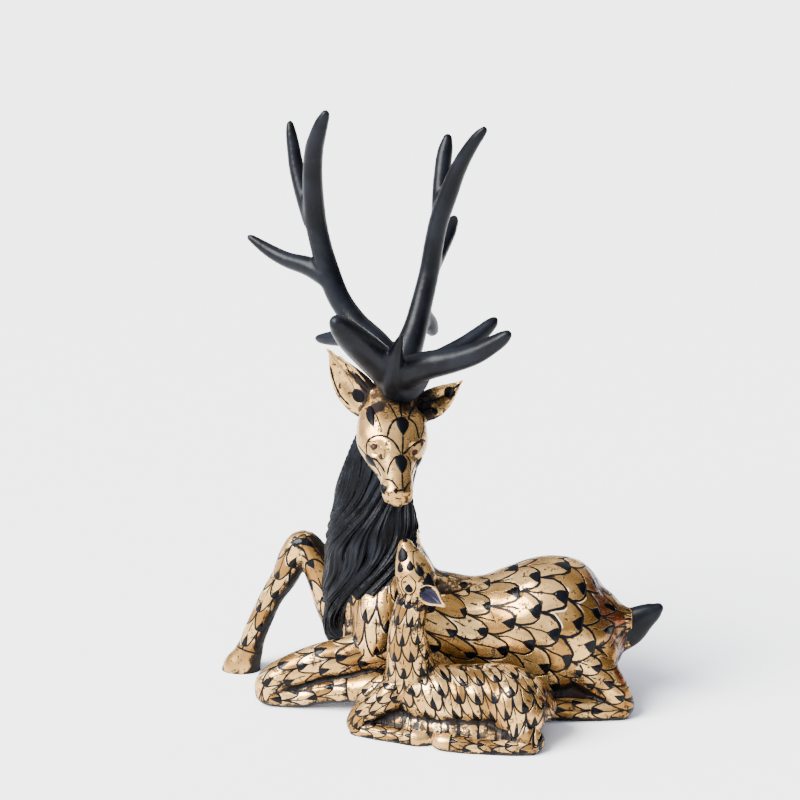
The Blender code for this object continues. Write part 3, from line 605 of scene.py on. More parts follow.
soft = neighbourMean(skin, spots, cavityRounds)
cavity = ((soft - spots) * normals).sum(1)        # more than 0 in a hollow
softer = neighbourMean(skin, soft, creaseRounds)
crease = ((softer - spots) * normals).sum(1)      # the same over a wider reach
# painted shade: sides that look down, and the skin just above the floor, are darker
under = rise(-normals[:, 2], 0.25, 0.8) * 0.55 + rise(-spots[:, 2], -3.5, -1.0) * 0.5
tailRun = placeOn(*runs["tail"], spots)[0]
isTail = (owners == "tail") & (spots[:, 0] > tailRoot)
black = np.maximum(cover, rise(tailRun, *tailPainted) * isTail)
report("charts laid out")


class Wire:
    def __init__(self, graph, socket):
        self.graph, self.socket = graph, socket

    def maths(self, operation, *values):
        return self.graph.add("ShaderNodeMath", {"operation": operation}, *values)

    def __add__(self, other): return self.maths("ADD", self, other)
    def __radd__(self, other): return self.maths("ADD", other, self)
    def __sub__(self, other): return self.maths("SUBTRACT", self, other)
    def __rsub__(self, other): return self.maths("SUBTRACT", other, self)
    def __mul__(self, other): return self.maths("MULTIPLY", self, other)
    def __rmul__(self, other): return self.maths("MULTIPLY", other, self)
    def __truediv__(self, other): return self.maths("DIVIDE", self, other)
    def __rtruediv__(self, other): return self.maths("DIVIDE", other, self)
    def __pow__(self, other): return self.maths("POWER", self, other)
    def __lt__(self, other): return self.maths("LESS_THAN", self, other)
    def __abs__(self): return self.maths("ABSOLUTE", self)
    def root(self): return self.maths("SQRT", self)
    def whole(self): return self.maths("CEIL", self)
    def floor(self): return self.maths("FLOOR", self)
    def part(self): return self.maths("FRACT", self)
    def most(self, other): return self.maths("MAXIMUM", self, other)
    def least(self, other): return self.maths("MINIMUM", self, other)


class Graph:
    def __init__(self, owner):
        # owner is the world, or a name for a new material
        self.owner = bpy.data.materials.new(owner) if isinstance(owner, str) else owner
        self.owner.use_nodes = True
        self.nodes, self.links = self.owner.node_tree.nodes, self.owner.node_tree.links

    def feed(self, socket, value):
        if isinstance(value, Wire):
            self.links.new(value.socket, socket)
        elif isinstance(value, tuple) and len(value) == 3 and socket.type == "RGBA":
            socket.default_value = (*value, 1)
        else:
            socket.default_value = value

    def add(self, kind, settings, *values, out=0, at=(), **named):
        node = self.nodes.new(kind)
        for key, value in settings.items():
            if key == "stops":
                self.fillRamp(node.color_ramp, value)
            else:
                setattr(node, key, value)
        for index, value in (*enumerate(values), *at):
            self.feed(node.inputs[index], value)
        for key, value in named.items():
            self.feed(node.inputs[key.replace("_", " ").title()], value)
        return Wire(self, node.outputs[out])

    def fillRamp(self, ramp, stops):
        while len(ramp.elements) < len(stops):
            ramp.elements.new(1)
        for element, (place, colour) in zip(ramp.elements, stops):
            element.position, element.color = place, (*colour, 1)

    def mix(self, factor, first, second):
        return self.add("ShaderNodeMix", {"data_type": "RGBA"}, factor, out=2, at=((6, first), (7, second)))

    def step(self, value, low, high):
        return self.add("ShaderNodeMapRange", {"interpolation_type": "SMOOTHSTEP"}, value, low, high, 0.0, 1.0)

    def attribute(self, name, out="Vector"):
        return self.add("ShaderNodeAttribute", {"attribute_name": name}, out=out)

    def split(self, vector):
        first = self.add("ShaderNodeSeparateXYZ", {}, vector)
        return [Wire(self, socket) for socket in first.socket.node.outputs]

    def place(self):
        return self.add("ShaderNodeNewGeometry", {}, out="Position")

    def noise(self, scale, detail=2.0, roughness=0.5, vector=None, out=0):
        return self.add("ShaderNodeTexNoise", {}, out=out, vector=vector or self.place(), scale=scale, detail=detail,
                        roughness=roughness)

    def paint(self, colour, roughness, metallic=0.0, height=None, depth=0.001, gloss=0.5):
        shader = self.nodes["Principled BSDF"].inputs
        finish = {"Base Color": colour, "Roughness": roughness, "Metallic": metallic, "Specular IOR Level": gloss}
        for name, value in finish.items():
            self.feed(shader[name], value)
        if height is not None:
            self.feed(shader["Normal"], self.add("ShaderNodeBump", {}, strength=1.0, distance=depth, height=height))
        return self.owner


goldFinish = {
    "bright": (0.63, 0.375, 0.130), "deep": (0.23, 0.113, 0.027),
    # the reddish brown is a painted warm reflection; the near-black brown beside it is dark patina that also paints
    # shade
    "warmReflection": (0.17, 0.045, 0.012), "patinaAndShade": (0.006, 0.0028, 0.0015),
    # the blue black is black paint with a painted blue reflection
    "chalk": (0.72, 0.60, 0.42), "black": (0.0012, 0.0012, 0.0020), "blackWithBlueReflection": (0.010, 0.009, 0.019),
    "metallic": 0.86, "roughness": 0.27, "relief": 0.0009,
    "cloud": (0.30, 0.68), "warmReflectionFrom": (0.46, 0.72), "dirtAndShadeFrom": (0.34, 0.80), "specksFrom": (0.550, 0.610),
    "overlap": 1.15,                      # how many rows long a scale is
    "line": (0.24, 0.024), "rib": (0.16, 0.017),                # half width: least, and share of the scale's width
    "tear": (0.02, 0.78, 0.185), "tearLength": 12.5,            # its start and end on a scale, half width, longest
}
# the lighter bluish black is partly wear and partly a painted bluish sheen
blackFinish = {"body": (0.0009, 0.0011, 0.0017), "wearAndSheen": (0.0042, 0.0050, 0.0072), "roughness": 0.31,
               "antlerRoughness": 0.27, "gloss": 0.10, "relief": 0.0008}


def scaleDrawing(g, chart, grain):
    # black outlines, teardrops at the tips and broken ribs, with the height of the engraving
    rows, columns, hoof = g.split(chart)
    rowLength, columnWidth, painted = g.split(grain)
    wander = g.noise(55.0, 2.0) - 0.5
    drift = g.split(g.noise(62.0, out=1))[0] - 0.5
    rows = rows + wander * 0.24
    columns = columns + drift * 0.22
    tipRow = rows.whole()
    odd = (tipRow * 0.5).part() * 2.0
    reach = goldFinish["overlap"]
    t = tipRow - rows
    layers = []
    for layer in (0, 1):
        offset = odd * 0.5 if layer == 0 else 0.5 - odd * 0.5
        place = columns - offset + 0.5
        across = abs(place.part() - 0.5)
        lengthwise = ((reach - layer - t) / reach).most(0.0)
        sideways = across * 2.0
        f = (lengthwise * lengthwise + sideways * sideways).root()
        slopeA = lengthwise / (rowLength * reach)
        slopeB = sideways / (columnWidth * 0.5)
        slope = (slopeA * slopeA + slopeB * slopeB).root().most(0.001)
        layers.append((f, (1.0 - f) * f / slope, across, place.floor()))
    (f0, gap0, across0, column0), (f1, gap1, across1, column1) = layers
    onTop = f0 < 1.0
    hand = g.noise(150.0, 3.0)
    half = (goldFinish["line"][0] + columnWidth * goldFinish["line"][1]) * (0.45 + hand * 1.1)
    line = 1.0 - g.step(abs(gap0) - half, -0.18, 0.22)
    under = (1.0 - g.step(abs(gap1) - half, -0.18, 0.22)) * (1.0 - onTop)
    line = line.most(under)
    low, high, wide = goldFinish["tear"]
    along = ((t - low) / ((goldFinish["tearLength"] / rowLength).least(1.0) * (high - low))).most(0.0).least(1.0)
    drop = along ** 0.36 * (1.0 - along) ** 1.35 * (wide * 2.36) * (0.8 + hand * 0.4)
    tear = g.step((drop - across0) * columnWidth, -0.15, 0.25) * onTop
    ribAcross = across0 * onTop + across1 * (1.0 - onTop)
    broken = g.step(g.noise(95.0, 1.0), 0.42, 0.50)
    ribHalf = (goldFinish["rib"][0] + columnWidth * goldFinish["rib"][1]) * (0.4 + hand * 1.2)
    rib = (1.0 - g.step(ribAcross * columnWidth - ribHalf, -0.15, 0.2)) * broken
    rib = rib * g.step(t, 0.45, 0.55).most(1.0 - onTop)
    bare = 1.0 - g.step(hoof, -0.4, 0.4)
    ring = 1.0 - g.step(abs(hoof) - 0.7, -0.2, 0.2)
    show = painted * bare
    ink = (line.most(tear).most(rib) * show).most(ring)
    beside = -1.0 * gap0 - half
    chalk = g.step(beside, 0.05, 0.35) * (1.0 - g.step(beside, 0.75, 1.2))
    chalk = chalk * g.step(g.noise(42.0, 2.0), 0.50, 0.60) * show
    cell = g.add("ShaderNodeCombineXYZ", {}, tipRow + 1.0 - onTop, column0 * onTop + column1 * (1.0 - onTop), 0.5)
    tint = g.add("ShaderNodeTexWhiteNoise", {"noise_dimensions": "3D"}, cell) * show + 0.5 * (1.0 - show)
    pillow = g.step(gap0 * onTop + gap1 * (1.0 - onTop), 0.0, 5.0) * show
    height = pillow * 0.5 + chalk * 0.15 - (line.most(rib * 0.6) * show).most(ring) * 0.6 - tear * show * 0.12
    return ink, height, tear * show, tint, chalk


def goldMaterial():
    g = Graph("goldScales")
    ink, height, tear, tint, chalk = scaleDrawing(g, g.attribute("chart"), g.attribute("grain"))
    # hollow is patina with painted shade; the third value is a painted warm reflection
    hollow, blackShare, warmReflectionShare = g.split(g.attribute("wear"))
    # stains and painted shade, then the black inside the fawn's ear
    stain, blueReflectionShare = g.split(g.attribute("stain"))[:2]
    cloud = g.noise(38.0, 3.0)
    speck = g.noise(620.0, 4.0, 0.65)
    blot = g.noise(150.0, 5.0, 0.62)
    gold = g.mix(g.step(cloud * 0.55 + tint * 0.45, *goldFinish["cloud"]), goldFinish["deep"], goldFinish["bright"])
    # a painted warm reflection, in patches, on sides that look back
    warmReflected = g.step(warmReflectionShare * (0.45 + tint * 0.75) + (blot - 0.5) * 0.5, *goldFinish["warmReflectionFrom"])
    gold = g.mix(warmReflected, gold, goldFinish["warmReflection"])
    gold = g.mix(chalk * 0.75, gold, goldFinish["chalk"])
    # dark patina as specks and dirt, and as painted shade where the hollow and shade values are high
    specks = blot * 0.6 + speck * 0.4 + tint * 0.03 + (hollow + stain).least(1.0) * 0.16
    dirtAndShade = g.step(hollow + stain + (blot - 0.5) * 1.5, *goldFinish["dirtAndShadeFrom"])
    dirtAndShade = dirtAndShade.most(g.step(specks, *goldFinish["specksFrom"]) * 0.95)
    colour = g.mix(dirtAndShade, gold, goldFinish["patinaAndShade"])
    colour = g.mix(ink, colour, goldFinish["black"])
    # black inside the fawn's near ear, its blue a painted reflection
    colour = g.mix(g.step(blueReflectionShare + (speck - 0.5) * 0.3, 0.35, 0.6), colour, goldFinish["blackWithBlueReflection"])
    black = g.step(blackShare, 0.42, 0.58)
    # patches of wear and of painted bluish sheen on the black
    sheen = g.step(g.noise(60.0, 3.0), 0.4, 0.7)
    colour = g.mix(black, colour, g.mix(sheen, blackFinish["body"], blackFinish["wearAndSheen"]))
    metallic = (1.0 - ink) * (1.0 - black) * (1.0 - dirtAndShade) * (1.0 - chalk * 0.5) * (1.0 - blueReflectionShare.least(1.0))
    metallic = metallic * goldFinish["metallic"]
    roughness = goldFinish["roughness"] + (speck - 0.5) * 0.12 + (blot - 0.5) * 0.12
    roughness = roughness + dirtAndShade * 0.2 - tear * 0.10 + chalk * 0.15
    roughness = roughness * (1.0 - black) + black * (blackFinish["roughness"] + (speck - 0.5) * 0.2)
    hair = g.noise(1.0, 2.0, vector=g.attribute("hair"))
    relief = height * (1.0 - black) + hair * black * 1.2 + speck * 0.03 + blot * 0.13
    return g.paint(colour, roughness, metallic, relief, goldFinish["relief"], blackFinish["gloss"])


def antlerMaterial():
    g = Graph("antlerBlack")
    cloud = g.noise(45.0, 3.0)
    grain = g.noise(420.0, 4.0, 0.6)
    dust = g.step(g.noise(260.0, 5.0, 0.7), 0.62, 0.72)
    # patches of wear and of painted bluish sheen on the antlers
    colour = g.mix(g.step(cloud, 0.32, 0.66), blackFinish["body"], blackFinish["wearAndSheen"])
    colour = g.mix(dust * 0.4, colour, tuple(v * 3 for v in blackFinish["wearAndSheen"]))
    roughness = blackFinish["antlerRoughness"] + grain * 0.16 + dust * 0.15
    return g.paint(colour, roughness, 0.0, cloud * 0.9 + grain * 0.12, blackFinish["relief"], blackFinish["gloss"])


def paintMaterial(name, colour, roughness):
    g = Graph(name)
    grain = g.noise(500.0, 3.0)
    lighter = tuple(v * 1.6 for v in colour)
    mottled = g.mix(grain, colour, lighter)
    return g.paint(mottled, roughness + grain * 0.12, 0.0, grain, 0.0002, blackFinish["gloss"] / 2)


gold = goldMaterial()
report("finishes mixed")


# how the gold darkens and tints: dark patina in hollows, painted shade in creases, under things and on sides turned
# from the lamp, and a painted warm reflection on sides that look back
wear = {
    "cavity": (1.1, 0.7), "crease": (4.5, 0.8),                 # how deep is dark, and at most how dark
    "warmReflectionFacing": (0.25, 0.8), "warmReflectionFrom": (60, 130),       # painted warm reflection on what looks back, from this x on
    # darker places of painted shade, their reach and strength: under the antlers, on the brow and behind the fawn's
    # head
    "shadedPlaces": (((0, -18, 214), 29, 1.0), (onFace(3.5, -37), 9, 0.9), ((22, -60, 92), 17, 0.6),
               ((14, -66, 90), 16, 0.5)),
    # painted shade on the parts underneath and between the fawn and the stag
    "dark": (("web", 0.35), ("fawnKeel", 0.35), ("keel", 0.3)),
    # painted shade on sides that look back or down: how far a side looks that way where it starts to darken and is
    # darkest, and how dark
    "legBehind": (0.05, 0.55, 0.9), "fawnBehind": (0.1, 0.7, 0.4), "below": (-0.10, 0.75, 0.3),
}
# painted warm reflection on sides that look back, towards the rump
warmReflectionShare = rise(normals[:, 0], *wear["warmReflectionFacing"]) * rise(spots[:, 0], *wear["warmReflectionFrom"])
(cavityDepth, cavityMost), (creaseDepth, creaseMost) = wear["cavity"], wear["crease"]
# patina in the small hollows, with painted shade in the wide creases between the parts and on the undersides
hollow = np.clip(cavity / cavityDepth, 0, cavityMost) + np.clip(crease / creaseDepth, 0, creaseMost) + under
wearAndPaintedLightValue = np.column_stack([hollow, black, warmReflectionShare])


def facing(way, low, high, amount):
    return amount * rise(way, low, high)


# painted shade on sides that look down, at the shaded places, on the parts underneath and on sides turned from the
# lamp; the ears add stains of their own
stain = facing(-normals[:, 2], *wear["below"])
for place, reach, amount in wear["shadedPlaces"]:
    stain += amount * dent(np.linalg.norm(spots - np.array(place), axis=1), reach)
for name, amount in wear["dark"]:
    stain += amount * (owners == name)
stain += facing(normals[:, 0], *wear["legBehind"]) * np.isin(owners, ("farForeleg", "farHoof"))
stain += facing(normals[:, 0], *wear["fawnBehind"]) * np.isin(owners, ("fawnHead", "fawnNeck"))
# the fawn's near ear is black inside, with a painted blue reflection
blackWithBlueReflection = np.zeros(len(spots))
for name, ear in ears.items():
    base, length, up, looks, across = earAxes(ear)
    off = spots - base
    along, wide = off @ up / length, (off @ across) / ear["width"]
    mine = owners == name
    if name == "fawnNearEar":
        leaf = 0.68 * leafWidth(np.clip((along - 0.16) / 0.72, 0, 1))
        inside = (along > 0.16) & (along < 0.9) & (normals @ looks > 0.1)
        blackWithBlueReflection += (1 - rise(np.abs(wide) / np.maximum(leaf, 0.02), 0.75, 1.1)) * inside * mine
    elif name == "rightEar":
        stain += (0.8 * dent(along, 0.7) + 0.45 * dent(wide + 0.3, 0.6)) * mine
    elif name == "leftEar":
        stain += (1.1 * rise(wide, -0.05, 0.3) * rise(-along, -0.75, -0.45) + 0.6 * dent(along, 0.35)) * mine
    else:
        stain += 0.5 * mine
stainAndShadeValue = np.column_stack([stain, blackWithBlueReflection, np.zeros(len(spots))])
hairValue = np.column_stack([phase * 3.2, spots[:, 2] / 26, lean * 0.5]) * ~isTail[:, None]
stored = {"chart": chartValue, "grain": grainValue, "wear": wearAndPaintedLightValue, "stain": stainAndShadeValue, "hair": hairValue}
for name, values in stored.items():
    layer = skin.attributes.new(name, "FLOAT_VECTOR", "CORNER" if name in ("chart", "grain") else "POINT")
    layer.data.foreach_set("vector", values.astype(np.float32).ravel())
setSpots(skin, inMetres(spots))
normals = normalsOf(skin)
skin.shade_smooth()
faceBlack = black[corners[starts]] > 0.5
faceFawn = np.char.startswith(faceOwner, "fawn") | (faceOwner == "web")


def pieceOf(name, keep):
    def trimmed(work):
        bmesh.ops.delete(work, geom=[work.faces[i] for i in np.flatnonzero(~keep)], context="FACES")

    mesh = skin.copy()
    mesh.name = name
    reworked(mesh, trimmed)
    kept = np.unique(corners[keep[cornerFace]])                  # so that no seam shows between the pieces
    mesh.normals_split_custom_set_from_vertices(normals[kept].tolist())
    mesh.materials.clear()
    mesh.materials.append(gold)
    made = putInScene(name, mesh)
    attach(made, "root")
    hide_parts("stag_and_fawn")
    report(f"{name} has {sum(len(f.vertices) - 2 for f in mesh.polygons)} triangles")


faceHead = np.isin(faceOwner, ("head", "leftEar", "rightEar"))
pieceOf("coat", ~faceBlack & ~faceFawn & ~faceHead)
pieceOf("headAndEars", ~faceBlack & faceHead)
pieceOf("fawn", ~faceBlack & faceFawn)
pieceOf("maneAndTail", faceBlack)
skinTree = BVHTree.FromPolygons([tuple(v) for v in inMetres(spots)], [tuple(f.vertices) for f in skin.polygons])


facePaint = {
    "lines": (                            # width, then distance along the face and angle from its midline
        (1.5, (-1, 6), (10.6, 6.3)), (1.4, (23.8, 9), (31.6, 10), (39.5, 10)), (1.4, (54.6, 8), (66.5, 8)),
        (1.7, (25.9, -19.7), (19.9, -14.2), (15, -7), (11.6, 1.3)),
        (1.7, (10.9, 18.3), (13.5, 30.3), (19.2, 37.3), (23, 44)),
        (1.5, (-1, -15.8), (5.4, -7.6), (12.3, -1.5)), (1.6, (-3.2, 39.7), (6.2, 22.8), (12.3, 18.1)),
        (1.4, (-1, 56), (8.6, 56.8), (22.3, 47.8)), (1.0, (1.6, -45.2), (10.5, -33.1), (20.6, -27.2)),
        (1.8, (32.6, -88), (26.7, -70.1), (24.2, -52.1), (24.1, -33.9), (26.5, -20), (31, -6.7), (39.2, 5.9)),
        (1.7, (21, 68), (22.3, 54), (26, 44.3), (32.5, 28), (39.4, 12)),
        (1.6, (54.7, -45.9), (48.7, -35), (43.4, -16.4), (40.8, -3.5)), (1.5, (39.4, 20), (42.5, 37), (49.6, 50)),
        (1.5, (34.4, -91.4), (38.5, -71.6), (46.2, -61.7), (51.9, -54.9)),
        (1.4, (31, 84), (38, 74), (46, 64), (52, 58)),
        (1.4, (56.9, -60.2), (60.1, -31.4), (66.7, -7.9)), (1.4, (57.9, 50), (63.2, 26.7), (67.3, 16)),
        (1.3, (21.7, -95.2), (32.6, -90)), (1.5, (68, -20), (66.8, 15)), (1.0, (70.6, -30), (71.2, 0), (70.9, 18)),
        (0.8, (26, -62), (27, -50), (33, -43), (41, -40)), (0.8, (27, -63), (33.2, -62), (39.4, -56), (42, -41)),
        (0.8, (22, 60), (24, 48), (30, 42), (38, 42)), (0.8, (23, 62), (30, 60), (36, 54), (39, 44)),
        (1.6, (35, -96), (44, -86), (52, -82)),
    ),
    "drops": (                            # distance and angle of the round end, then of the point, and the width
        ((10.6, 8.0), (24.6, 9.5), 9.6), ((39.6, 7.5), (55.2, 8.0), 9.4), ((31.5, -96), (43.0, -84), 7.0),
        ((31, 92), (42, 82), 6.0),
        ((58.5, -92), (68.0, -68), 5.4), ((66.0, -20), (69.5, -16), 3.0), ((65.0, 14), (68.5, 18), 3.0),
        ((-1, -53), (18, -40), 7.0),
    ),
    "eyes": ((33.0, -53.0), (30.5, 51.5)),
    # distance and angle as before, then width and length
    "pupils": ((30.6, -54.9, 4.4, 3.8), (38.3, -51.3, 3.0, 4.6), (25.2, 55.9, 3.4, 3.6), (33.1, 49.3, 4.2, 4.4)),
}
earPaint = {                              # share of the ear's length and of its half width, on the side that it shows
    "leftEar": {"rims": ((1.7, (0.99, 0.0), (0.86, 0.16), (0.66, 0.14), (0.48, 0.02), (0.40, -0.04)),
                         (1.1, (0.97, 0.5), (0.80, 0.80), (0.62, 0.84), (0.42, 0.80))),
                "lines": ((1.5, (0.80, -0.62), (0.62, -0.70), (0.44, -0.72), (0.28, -0.66)),
                          (1.3, (0.66, 0.45), (0.50, 0.50)),
                          (1.6, (0.56, 0.72), (0.34, 0.66)), (1.4, (0.44, 0.42), (0.30, 0.5)),
                          (1.2, (0.72, 0.72), (0.60, 0.5))),
                "spots": ((0.32, -0.02, 8.8, 9.6),)},
    "rightEar": {"lines": ((1.7, (0.22, -0.30), (0.46, -0.06), (0.66, 0.10)),
                           (1.6, (0.12, 0.10), (0.28, -0.35), (0.20, -0.6)),
                           (2.0, (0.10, 0.45), (0.26, 0.20), (0.36, 0.40)), (1.5, (0.76, 0.16), (0.90, 0.30)),
                           (1.8, (0.30, -0.55), (0.40, -0.45), (0.38, -0.1))),
                 "spots": ((0.70, 0.14, 9.0, 7.5), (0.14, 0.2, 6.0, 7.0), (0.34, 0.62, 5.0, 4.0))},
    "fawnNearEar": {"rims": ((1.0, (1.0, 0.0), (0.82, 0.55), (0.5, 0.80), (0.22, 0.66), (0.10, 0.1)),
                             (1.0, (1.0, 0.0), (0.82, -0.55), (0.5, -0.80), (0.22, -0.66), (0.10, -0.1))),
                    "lines": (), "spots": ()},
}
fawnPaint = {                             # places on the grid, and the way that the skin looks there
    "lines": (
        (1.0, (0.0, -0.95, 0.15), (12.1, -74.4, 113.4), (7.6, -73.0, 108.6), (8.2, -73.6, 102.4), (12.1, -75.0, 99.2),
         (16.2, -76.0, 102.4), (16.8, -75.8, 108.4), (12.4, -74.4, 113.2)),
        (0.9, (-0.4, -0.85, 0.3), (13.4, -67.5, 127.5), (15.0, -71.0, 120.5), (17.8, -73.5, 113.5)),
        (0.9, (-0.5, -0.8, 0.1), (4.6, -70.0, 110.0), (5.2, -71.5, 103.5), (8.4, -74.5, 96.5)),
        (0.8, (0.4, -0.85, 0.3), (20.5, -73.5, 116.5), (22.5, -74.0, 108.0)),
        (0.9, (-0.1, -0.95, 0.1), (10.5, -75.0, 94.8), (16.0, -76.2, 94.0), (20.0, -75.5, 96.0)),
    ),
    "drops": (                            # the outlook, the round end, the point, and the width
        ((-0.41, -0.79, 0.45), (7.9, -69.4, 119.8), (7.0, -64.4, 129.0), 8.4),
        ((-0.62, -0.72, 0.28), (6.4, -71.6, 113.4), (6.0, -68.6, 119.8), 5.6),
        ((-0.1, -0.88, 0.45), (13.2, -73.6, 115.4), (12.6, -70.4, 121.6), 5.4),
        ((-0.2, -0.95, 0.0), (12.2, -74.8, 100.9), (12.4, -75.4, 107.2), 6.4),
        ((0.4, -0.85, 0.35), (25.2, -73.9, 103.6), (25.0, -71.8, 114.0), 8.6),
        ((0.2, -0.95, 0.1), (21.5, -74.8, 101.5), (20.6, -74.0, 106.5), 3.6),
        ((0.1, -0.85, 0.5), (20.6, -72.5, 111.0), (17.4, -70.0, 118.8), 5.4),
        ((-0.1, -0.95, 0.1), (7.0, -74.0, 91.5), (8.0, -74.5, 97.0), 4.6),
        ((0.1, -0.95, 0.3), (49.5, -51.0, 98.6), (43.0, -53.0, 99.6), 5.0),
        ((-0.2, -0.6, 0.75), (9.0, -62.0, 130.0), (9.5, -58.0, 131.5), 3.6),
    ),
}


castFrom, castLength = 7 * unit, 16 * unit            # how far off the skin a mark is cast from, and how far it goes


def onSkin(point, outward, lift):
    # where a line straight down onto the finished skin meets it, in metres, raised a little
    outward = unitVector(np.array(outward))
    place, normal, index, gap = skinTree.ray_cast(Vector(point + outward * castFrom), Vector(-outward), castLength)
    if place is None:
        place, normal, index, gap = skinTree.find_nearest(Vector(point))
    return np.array(place) + np.array(normal) * lift * unit, np.array(normal)


def stroke(shells, places, width, lift=0.34):
    # a thin raised line of paint along the skin, thinner at its ends
    run = np.array([(*point, *outward) for point, outward in places])
    reach = np.linalg.norm(np.diff(run[:, :3], axis=0), axis=1).sum() / unit
    curve = smoothRun(run, max(3, int(reach / 0.7 / max(1, len(run) - 1))))
    placed = [onSkin(row[:3], row[3:], 0) for row in curve]
    spots, normals = (np.array([pair[k] for pair in placed]) for k in (0, 1))
    for _ in range(2):
        spots[1:-1] = (spots[:-2] + spots[1:-1] * 2 + spots[2:]) / 4
        normals[1:-1] = unitVector(normals[:-2] + normals[1:-1] * 2 + normals[2:])
    along = unitVector(np.gradient(spots, axis=0))
    across = unitVector(np.cross(normals, along))
    share = np.linspace(0, 1, len(spots))
    shake = 1 + 0.22 * np.sin(share * reach * 0.9 + width * 7) * np.sin(share * reach * 0.37 + 1)
    half = 0.5 * width * unit * shake * np.clip(np.sin(math.pi * share) * 3.2, 0.25, 1) ** 0.7
    profile = ((-1, -0.35), (-0.72, 0.55), (0, 1), (0.72, 0.55), (1, -0.35))
    rings = np.stack([spots + across * (half * a)[:, None] + normals * (lift * unit * b) for a, b in profile], axis=1)
    shells.append((rings.reshape(-1, 3), quads(len(spots), len(profile))))


def blob(shells, first, last, width, profile, lift=0.3, dome=0.5):
    # a drop, an almond or a round spot of paint from one place to another, domed a little
    (start, outA), (end, outB) = first, last
    normal = unitVector(outA + outB)
    across = unitVector(np.cross(normal, end - start))
    rows, columns = 15, 9
    rings = []
    for i in range(rows):
        t = 0.5 - 0.5 * math.cos(math.pi * i / (rows - 1))
        half = 0.5 * width * unit * profile(t)
        for k in range(columns):
            c = 2 * k / (columns - 1) - 1
            inside = 0 < i < rows - 1 and 0 < k < columns - 1
            height = lift + dome * (1 - c * c) * profile(t) if inside else -0.2      # its edge is just under the skin
            rings.append(onSkin(start + (end - start) * t + across * half * c, normal, height)[0])
    shells.append((np.array(rings), quads(rows, columns)))


def dropShape(t):
    return 2.598 * math.sqrt(max(t, 0)) * (1 - t)


def almondShape(t):
    return math.sin(math.pi * t) ** 0.8 if 0 < t < 1 else 0.0


def roundShape(t):
    return 2 * math.sqrt(max(t * (1 - t), 0))


def faceSpot(place):
    s, turn = place
    angle = math.radians(turn)
    return inMetres(onFace(s, turn)), faceSide * math.sin(angle) + faceLooks * math.cos(angle)


def earSpot(ear, t, share):
    base, length, up, looks, across = earAxes(ear)
    aside = ear["bow"] * math.sin(math.pi * t) + share * leafWidth(t) * ear["width"]
    return inMetres(base + up * length * t + across * aside), looks


def paintedPiece(name, shells, material):
    made = meshFrom(name, shells)
    made.data.shade_smooth()
    made.data.materials.append(material)
    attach(made, "root")


inkShells, rimShells, eyeShells, pupilShells = [], [], [], []
for width, *places in facePaint["lines"]:
    stroke(inkShells, [faceSpot(p) for p in places], width)
for start, end, width in facePaint["drops"]:
    blob(inkShells, faceSpot(start), faceSpot(end), width, dropShape)
for name, marks in earPaint.items():
    ear = ears[name]
    for width, *places in marks.get("rims", ()):
        stroke(rimShells, [earSpot(ear, *p) for p in places], width, 1.1)
    for width, *places in marks["lines"]:
        stroke(inkShells, [earSpot(ear, *p) for p in places], width)
    for t, share, across, along in marks["spots"]:
        reach = along / np.linalg.norm(np.array(ear["tip"]) - np.array(ear["base"])) / 2
        blob(inkShells, earSpot(ear, t - reach, share), earSpot(ear, t + reach, share), across, roundShape)
for width, outlook, *places in fawnPaint["lines"]:
    stroke(inkShells, [(inMetres(np.array(p)), np.array(outlook)) for p in places], width)
for outlook, *ends, width in fawnPaint["drops"]:
    blob(inkShells, *((inMetres(np.array(p)), np.array(outlook)) for p in ends), width, dropShape)
for s, turn in facePaint["eyes"]:
    hand = 1 if turn > 0 else -1
    corner, farCorner = faceSpot((s - 6.5, turn + hand * 4)), faceSpot((s + 7.5, turn - hand * 9))
    blob(eyeShells, corner, farCorner, 5.6, almondShape, 0.1, 0.9)
for s, turn, width, length in facePaint["pupils"]:
    blob(pupilShells, faceSpot((s - length / 2, turn)), faceSpot((s + length / 2, turn)), width, roundShape, 0.8, 0.6)
paintedPiece("faceInk", inkShells, paintMaterial("paintedInk", (0.0012, 0.0012, 0.0018), 0.30))
paintedPiece("earRims", rimShells, paintMaterial("rubbedRim", (0.30, 0.185, 0.080), 0.34))
paintedPiece("eyeWhites", eyeShells, paintMaterial("eyeGlaze", (0.20, 0.115, 0.042), 0.3))
paintedPiece("pupils", pupilShells, paintMaterial("pupilBrown", (0.020, 0.009, 0.006), 0.15))
report("face and ears drawn")


